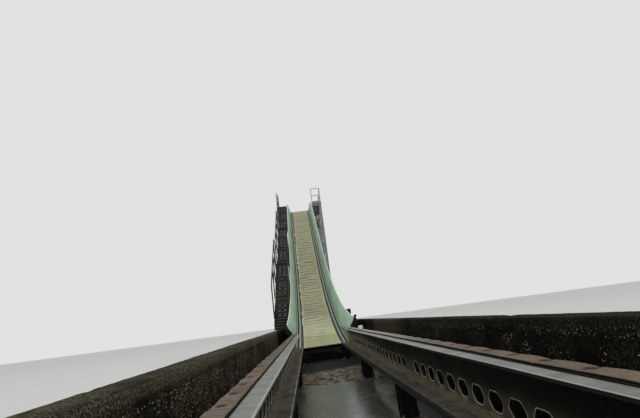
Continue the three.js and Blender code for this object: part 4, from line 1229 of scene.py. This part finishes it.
def panelPart(word):
    # Profile up the inner face, round the edge and down the outer face, carried along the slide
    # The masks: rise is 0 at the foot and 1 at the top, pale is 1 on the edge
    top, thick = panel["top"], panel["thickness"]
    h = np.linspace(panel["foot"], top - 0.004, 24)
    turn = np.linspace(np.pi * 1.15, -np.pi * 0.15, 9)
    edge = panelX(top) + thick / 2 + panel["edge"] * np.cos(turn)
    x = np.concatenate([panelX(h), edge, panelX(h[::-1]) + thick])
    level = np.concatenate([h, top - 0.002 + panel["edge"] * np.sin(turn), h[::-1]])
    share = (h - h[0]) / (h[-1] - h[0])
    rise = np.concatenate([share, np.ones(9), share[::-1]])
    pale = np.concatenate([0 * h, np.ones(9), 0 * h])
    steps = np.linspace(0.02, wholeRun, int(wholeRun / panel["step"]))
    run = np.concatenate([panel["start"] * np.array([1, 0.98, 0.5]), [-0.02], steps])[:, None]
    sway = 0.003 * softNoise(run, level, 1.3, panel["seed"][word])
    return carried(onSlide(run, sides[word] * (x + sway), level), rise=rise, pale=pale)


def upPanel(side, run, h, section):
    # Section of (outwards, along) points carried up the panel's profile at one arc length
    out, along = np.transpose(section)
    return carried(onSlide(run + along, side * (panelX(h)[:, None] + out), h[:, None]))


def panelTrimPart(side):
    # Round bead down the panel's free end
    h = np.linspace(panel["foot"], panel["top"] + 0.004, 24)
    return upPanel(side, panel["start"], h, 0.006 + 0.0085 * np.stack(circle(8), 1))


def panelRibPart(side):
    # Pairs of flanges with bolts where two lengths of the panel meet, on its outer face
    wide, thick, parts = panel["ribWidth"], panel["thickness"], []
    half, back, reach = wide / 2, thick - 0.002, thick + panel["ribDepth"]
    h = np.linspace(-0.08, 0.48, 5)
    for run in np.arange(panel["ribFirst"], wholeRun - 0.3, panel["ribPitch"]):
        for shift in (-half - 0.001, half + 0.001):
            section = rectangle(back, shift - half, reach, shift + half)
            parts.append(upPanel(side, run, np.linspace(panel["foot"] + 0.004, panel["ribTop"], 12), section))
        places = onSlide(run - wide - 0.001, side * (panelX(h) + thick + 0.02), h)
        parts.append(boltsPart("panel", places, -slopeTurn(run)[:, 1]))
    return joined(parts)


splice = {"webX": 0.527, "half": 0.21, "low": -0.285, "high": -0.045, "thickness": 0.01,
          "joints": (3 / 16, 9 / 16, 1.0)}


def splicePart(side):
    # Plate on the girder's web over each joint of the frame, with two groups of six bolts
    near, far, parts = splice["webX"], splice["webX"] + splice["thickness"], []
    x, h = np.transpose(rectangle(near, splice["low"], far, splice["high"]))
    u, v = np.meshgrid([-0.17, -0.11, -0.05, 0.05, 0.11, 0.17], [-0.235, -0.095])
    for share in splice["joints"]:
        run = hollowRun * share
        steps = run + np.linspace(-splice["half"], splice["half"], 7)[:, None]
        parts.append(carried(onSlide(steps, side * x, h)))
        parts.append(boltsPart("beam", onSlide(run + u, side * far, v), [side, 0, 0]))
    return joined(parts)


def seatBoltPart():
    # Two bolts through each girder's lower flange at each sleeper, trestle or tower beam, square to the bed
    names = ["foot_sleeper"] + [name for name in cadNodes if name.startswith(("trestle_", "tower_cross_"))]
    run = runAt(np.array([sum(corner.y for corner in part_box(name)) / 2 for name in names]))
    shifts = -0.035, 0.035
    places = [onSlide(run + shift, side * 0.585, -0.299) for side in sides.values() for shift in shifts]
    return boltsPart("beam", np.stack(places, 1), np.repeat(slopeTurn(run), 4, 0))


outrigger = {
    "run": 1.8, "thickness": 0.014, "bolts": (0.9, 0.965),
    "outline": ((0.8, 0.36), (0.866, 0.36), (1.015, 0.44), (1.015, 0.605), (0.862, 0.605), (0.836, 0.552),
                (0.8, 0.45)),
}


def outriggerPart():
    # Cut plate on the outside of the right-hand panel, square to the bed, that stands out beyond its edge
    run, thick = outrigger["run"], outrigger["thickness"]
    plate = platePart(outrigger["outline"], thick, onSlide(run, 0, 0), xAxis, slopeTurn(run)[:, 2])
    heads = onSlide(run, np.array(outrigger["bolts"]), 0.55) - [0, thick / 2, 0]
    return joined([plate, boltsPart("cover", heads, [0, -1, 0])])


lengths = range(1, 5)
makePiece("rippled_bed", bedPart(), "bed", [f"slide_bed_{k}" for k in lengths], 50.0)
makePiece("bed_nosing", lipPart(), "trim", ["slide_lip"], 50.0)
for word, side in sides.items():
    solids = [f"wheel_rail_{word}_{k}" for k in lengths]
    makePiece(f"polished_shaded_rail_{word}", railPart(side), "rail", solids, 40.0)
    makePiece(f"flared_panel_{word}", panelPart(word), "panel", [f"side_panel_{word}"], 50.0)
    makePiece(f"panel_end_trim_{word}", panelTrimPart(side), "trim")
    makePiece(f"panel_flanges_{word}", panelRibPart(side), "trim", slotName="panel_plastic")
    makePiece(f"girder_splices_{word}", splicePart(side), "ledge")
makePiece("seat_bolts", seatBoltPart(), "bolt")
makePiece("panel_outrigger", outriggerPart(), "black")
print("slide made")


# Bolted plates of the trestles and the tower

joint = {"thickness": 0.01, "corner": 0.035}


def jointPart(width, height, faceGap, us, vs, normal):
    # Pair of plates with cut corners either side of a frame, faceGap apart, with bolts on both outer faces
    cut, thick, w, h = joint["corner"], joint["thickness"], width / 2, height / 2
    outline = [[-w + cut, -h], [w - cut, -h], [w, -h + cut], [w, h - cut], [w - cut, h], [-w + cut, h],
               [-w, h - cut], [-w, -h + cut]]
    across, parts = np.cross(zAxis, normal), []
    u, v = (values[..., None] for values in np.meshgrid(us, vs))
    for out in (-normal, normal):
        parts.append(platePart(outline, thick, out * (faceGap + thick / 2), across, zAxis))
        parts.append(boltsPart("beam", u * across + v * zAxis + out * (faceGap + thick), out))
    return joined(parts)


trestle = {"bay": 1.7, "first": 0.25, "last": 0.1, "topX": 0.565, "beam": 0.16, "girders": 0.3143}


def trestleJoints():
    # Leg joints at the foot of each braced bay, and the place where its two braces cross
    t, legs, crossings = trestle, [], []
    for number in range(1, 5):
        low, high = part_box(f"trestle_{number}")
        middleY, splay = (low.y + high.y) / 2, high.x - feet["half"] - t["topX"]
        bedZ, slope = slidePath(runAt(middleY - 0.06))[1:]
        height = bedZ - t["girders"] / math.cos(slope) - t["beam"] - low.z
        bays = int(height // t["bay"])
        size = (height - t["first"] - t["last"]) / max(bays, 1)
        for z in low.z + t["first"] + size * np.arange(bays):
            wide, narrow = (t["topX"] + splay * (1 - (level - low.z) / height) for level in (z, z + size))
            legs += [(side * (wide - 0.12), middleY, z + 0.03) for side in sides.values()]
            crossings.append((0.0, middleY, z + size * wide / (wide + narrow)))
    return legs, crossings


tower = {"levels": (3.1, 6.2), "legX": 1.5, "plateX": 1.3, "under": 0.13, "beam": 0.14, "off": 0.2,
         "brace": 0.035, "rail": 0.05}


def towerJoints():
    # Places where rails and braces meet the legs, in the long faces and in the cross frames
    t, cross, middles = tower, [], []
    low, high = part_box("tower_side_right")
    rows = np.linspace(low.y + feet["half"], high.y - feet["half"], 3)
    spots = (rows[0] + t["off"], rows[1] - t["off"], rows[1] + t["off"], rows[2] - t["off"])
    long = [(side * t["legX"], y, z) for side in sides.values() for z in (*t["levels"], high.z - t["under"])
            for y in spots]
    for number, y in enumerate(rows, 1):
        floors = (*t["levels"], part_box(f"tower_cross_{number}")[1].z - t["beam"])
        cross += [(side * t["plateX"], y, z) for side in sides.values() for z in floors]
        middles += [(0.0, y, (floors[k] + floors[k + 1]) / 2) for k in range(2)]
    return long, cross, middles


legs, crossings = trestleJoints()
long, cross, middles = towerJoints()

# Plates where braces cross, on the trestles' legs, and on the tower's cross frames and long faces
small = jointPart(0.16, 0.16, tower["brace"], (-0.045, 0.045), (-0.045, 0.045), yAxis)
legPlate = jointPart(0.22, 0.24, tower["brace"], (-0.06, 0.0, 0.06), (-0.07, 0.07), yAxis)
crossPlate, sidePlate = (jointPart(0.26, 0.34, tower["rail"], (-0.07, 0.0, 0.07), (-0.11, 0.11), normal)
                         for normal in (yAxis, xAxis))
makePiece("trestle_plates", joined([copied(legPlate, legs), copied(small, crossings)]), "zinc")
plates = [copied(crossPlate, cross), copied(small, middles), copied(sidePlate, long)]
makePiece("tower_plates", joined(plates), "zinc")
print("bolted plates made")


# Decks, guards and stair

deck = {
    "barPitch": 0.034, "barWidth": 0.006, "rodPitch": 0.1, "rodWidth": 0.007, "frame": 0.008, "panel": 1.075,
}


def gratingPart(word):
    # Bearing bars across, thin rods along, and a flat frame round each panel of the grating
    (x0, y0, z0), (x1, y1, z1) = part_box(f"deck_{word}")
    halfX, halfY, halfZ = (x1 - x0) / 2, deck["barWidth"] / 2, (z1 - z0) / 2
    thin, wide = deck["rodWidth"], deck["frame"]
    bar = boxPart((-halfX, -halfY, -halfZ), (halfX, halfY, halfZ), 0.001)
    rod = boxPart((-thin / 2, y0, -thin), (thin / 2, y1, 0))
    y = np.arange(y0 + deck["barPitch"] / 2, y1, deck["barPitch"])
    x = np.arange(x0 + deck["rodPitch"] / 2, x1, deck["rodPitch"])
    parts = [copied(bar, points3(x0 + halfX, y, z0 + halfZ)), copied(rod, points3(x, 0, z1 - 0.001))]
    seams = np.linspace(y0, y1, int(round((y1 - y0) / deck["panel"])) + 1)
    for start, end in zip(seams[:-1] + 0.003, seams[1:] - 0.003):
        bars = ((x0, x0 + wide, start, end), (x1 - wide, x1, start, end), (x0, x1, start, start + wide),
                (x0, x1, end - wide, end))
        parts += [boxPart((left, near, z0), (right, far, z1), 0.001) for left, right, near, far in bars]
    return joined(parts)


guard = {"radius": 0.021, "inset": 0.045, "rails": (1.076, 0.55), "posts": 4, "bend": 0.1, "toe": 0.145,
         "toeThickness": 0.008, "base": 0.04}


def toeBoardPart(places, half, height):
    # Upright board along a level path, half its thickness to either side of it
    side = unit(np.cross(np.gradient(places, axis=0), zAxis))
    out, up = np.transpose(rectangle(-half, 0, half, height))[..., None]
    return carried(places[:, None] + out * side[:, None] + up * zAxis)


def guardPart(word):
    # Two bent pipes, posts on base plates and a toe board round the open edges of one deck
    g, side, radius = guard, sides[word], guard["radius"]
    low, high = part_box(f"deck_{word}")
    least, most = sorted((abs(low.x), abs(high.x)))
    inner, outer = side * (least + g["inset"]), side * (most - g["inset"])
    near, far = low.y + g["inset"], high.y - g["inset"]
    corners = [(inner, far), (outer, far), (outer, near)] + [(inner, near)] * (side > 0)
    x, y = np.transpose(corners)
    posts = [(outer, place) for place in np.linspace(near + g["bend"], far - g["bend"], g["posts"] + 1)]
    posts += corners[:1] + corners[3:]
    pole = turnedPart([radius] * 2, [0.004, g["rails"][0]], 14)
    base = turnedPart([g["base"], g["base"], radius * 1.3, radius], [0.0, 0.008, 0.01, 0.026], 20)
    knob = turnedPart([0.008, radius * 1.12, radius * 1.12, 0.008], [-0.026, -0.016, 0.016, 0.026], 12)
    turn = np.arange(4) * math.pi / 2 + 0.785
    heads = boltsPart("post", points3(0.029 * np.cos(turn), 0.029 * np.sin(turn), 0.008), zAxis)
    post = joined([pole, base, heads, copied(knob, (0, 0, g["rails"][1]))])
    parts = [pipePart(bent(points3(x, y, high.z + height), g["bend"]), radius) for height in g["rails"]]
    parts.append(copied(post, [(*place, high.z) for place in posts]))
    parts.append(toeBoardPart(bent(points3(x, y, high.z + 0.006), 0.03, 3), g["toeThickness"] / 2, g["toe"]))
    return joined(parts)


stair = {
    "start": 2.75, "wall": 1.08, "riser": 0.17, "going": 0.28, "risers": 16, "landing": 1.0, "inside": 0.9,
    "outside": 1.4, "depth": 0.29, "inset": 0.002, "dots": (0.34, 0.72), "railX": 1.4243,
    "railRadius": 0.021, "leads": (0.69, 0.12, 0.12), "trail": 0.06, "height": 1.0, "posts": 3, "turn": 0.1,
}


def onStair(flight, x, step, y=0, z=0):
    # Point at x on the line through a flight's step edges, and y and z away from it
    flightY = footY + stair["start"] + flight * ((stair["risers"] - 1) * stair["going"] + stair["landing"])
    flightZ = stair["wall"] + flight * stair["risers"] * stair["riser"]
    return points3(x, flightY + stair["going"] * step + y, flightZ + stair["riser"] * step + z)


def nosingPart(flight):
    # Pale strip along the front of every tread, and a thinner one half-way up every riser; their pale paint
    # is painted highlight on the stair's edges
    s, steps = stair, np.arange(stair["risers"] - 1)
    near, far = -s["outside"] + 0.014, -s["inside"] - 0.014
    strip = boxPart((near, -0.003, -0.01), (far, 0.022, 0.0015), 0.001)
    rib = boxPart((near, -0.014, -0.007), (far, -0.01, 0.007), 0.0015)
    fronts = onStair(flight, 0, steps + 1, -s["inset"] - s["depth"], -s["inset"])
    return joined([copied(strip, fronts), copied(rib, onStair(flight, 0, steps, 0, 0.42 * s["riser"]))])


def stairDiscPart(flight):
    # Pairs of domed discs on most risers, painted pale as glints
    x = -stair["outside"] + np.array(stair["dots"]) * (stair["outside"] - stair["inside"])
    dome = turnedPart([0.019, 0.019, 0.014, 0.006], [-0.002, 0.002, 0.008, 0.01], 12)
    risers = np.array([k for k in range(stair["risers"]) if k % 5 not in (0, 1)])[:, None]
    return copied(dome, onStair(flight, x, risers, -0.011, 0.62 * stair["riser"]), turnTo([0, -1, 0]))


def stairBoltPart(flight):
    # Pairs of bolts that hold each tread to both stringers
    steps = np.arange(stair["risers"] - 1) + 1
    return joined([boltsPart("tread", onStair(flight, -stair[key], steps, y, -0.018), [out, 0, 0])
                   for key, out in (("outside", -1), ("inside", 1)) for y in (-0.2, -0.09)])


def stairRailPart(flight):
    # Top and middle pipe parallel to the flight, level over the landing before it, on posts on the stringer
    s, radius, height = stair, stair["railRadius"], stair["height"]
    slope, lead = s["riser"] / s["going"], s["leads"][flight]
    low = onStair(flight, -s["railX"], 0, lead, s["riser"] + (lead - 0.12) * slope)
    run = (s["risers"] - 1) * s["going"] - lead - s["trail"]
    high = low + [0, run, run * slope]
    turn = onStair(flight, -s["railX"], 0, s["turn"] - s["landing"])
    posts = list(np.linspace(low, high, s["posts"] + 1))
    if flight > 0:
        paths = [bent(np.array([turn, low, high]) + rise * zAxis, 0.08) for rise in (height, height / 2)]
        posts.append(turn + 0.09 * zAxis)
    else:
        paths = [np.array([low, high]) + height * zAxis, np.array([posts[1], high]) + height / 2 * zAxis]
    pole = turnedPart([radius, radius, 0.012], [-0.14, height - 0.004, height + 0.012], 14)
    plate = boxPart((0.012, -0.035, -0.15), (0.024, 0.035, -0.02), 0.003)
    places = [(0.012, y, z) for y in (-0.024, 0.024) for z in (-0.13, -0.04)]
    post = joined([pole, plate, boltsPart("tread", places, [-1, 0, 0])])
    return joined([pipePart(path, radius) for path in paths] + [copied(post, posts)])


for word in sides:
    makePiece(f"grating_{word}", gratingPart(word), "zinc", [f"deck_{word}"])
    makePiece(f"pipe_guard_{word}", guardPart(word), "zinc", [f"guard_rail_{word}"])
for flight in range(3):
    makePiece(f"nosings_{flight + 1}", nosingPart(flight), "nosing")
    makePiece(f"stair_bolts_{flight + 1}", stairBoltPart(flight), "bolt")
    makePiece(f"stair_discs_{flight + 1}", stairDiscPart(flight), "disc")
    makePiece(f"pipe_rail_{flight + 1}", stairRailPart(flight), "black", [f"stair_rail_{flight + 1}"])
print("decks, guards and stair made")


# Stage, light and camera

stage = {
    "size": 240.0, "shade": (0.62, 0.62, 0.6), "cloud": (0.66, 0.66, 0.65), "sky": (0.8, 0.81, 0.8, 1),
    "skyStrength": 0.94, "lampSize": (26.0, 44.0), "lampHeight": 24.0, "lampPower": 1500.0,
}
view = {
    "place": (-0.302, -16.405, 1.254), "focalPixels": 416.14, "yaw": 0.0612, "pitch": 0.2558, "roll": -0.13,
    "imageWidth": 640, "sensorWidth": 36.0,
}


def makeStage():
    # Square floor with faint clouds
    half = stage["size"] / 2
    mesh = bpy.data.meshes.new("studio_floor")
    mesh.from_pydata([(*corner, 0) for corner in rectangle(-half, -half, half, half)], [], [(0, 1, 2, 3)])
    ground = bpy.data.objects.new("studio_floor", mesh)
    bpy.context.scene.collection.objects.link(ground)
    surface = Surface("paleFloor", stage["shade"])
    surface.paint(surface.noise(0.2, 3.0), stage["cloud"])
    mesh.materials.append(surface.finish(0.9))


def makeLight():
    # Even sky and one broad lamp overhead
    world = bpy.data.worlds.new("softStudio")
    world.use_nodes = True
    background = world.node_tree.nodes["Background"].inputs
    background["Color"].default_value = stage["sky"]
    background["Strength"].default_value = stage["skyStrength"]
    bpy.context.scene.world = world
    lamp = bpy.data.lights.new("overheadSoftbox", "AREA")
    lamp.shape = "RECTANGLE"
    lamp.size, lamp.size_y = stage["lampSize"]
    lamp.energy = stage["lampPower"]
    holder = bpy.data.objects.new("overheadSoftbox", lamp)
    holder.location = (0, 0, stage["lampHeight"])
    bpy.context.scene.collection.objects.link(holder)


def makeCamera():
    # Looks along the yaw and the pitch, then turns about that line by the roll
    camera = bpy.data.cameras.new("channelView")
    camera.sensor_width = view["sensorWidth"]
    camera.lens = view["focalPixels"] * view["sensorWidth"] / view["imageWidth"]
    camera.clip_start, camera.clip_end = 0.02, 400.0
    yaw, pitch, roll = view["yaw"], view["pitch"], view["roll"]
    forward = Vector((math.sin(yaw) * math.cos(pitch), math.cos(yaw) * math.cos(pitch), math.sin(pitch)))
    level = forward.cross(Vector((0, 0, 1))).normalized()
    across = level * math.cos(roll) + level.cross(forward) * math.sin(roll)
    turn = Matrix((across, across.cross(forward), -forward)).transposed().to_4x4()
    holder = bpy.data.objects.new("channelView", camera)
    holder.matrix_world = Matrix.Translation(view["place"]) @ turn
    bpy.context.scene.collection.objects.link(holder)
    bpy.context.scene.camera = holder


makeStage()
makeLight()
makeCamera()
bpy.context.scene.view_settings.view_transform = "Standard"
print("stage, light and camera made")
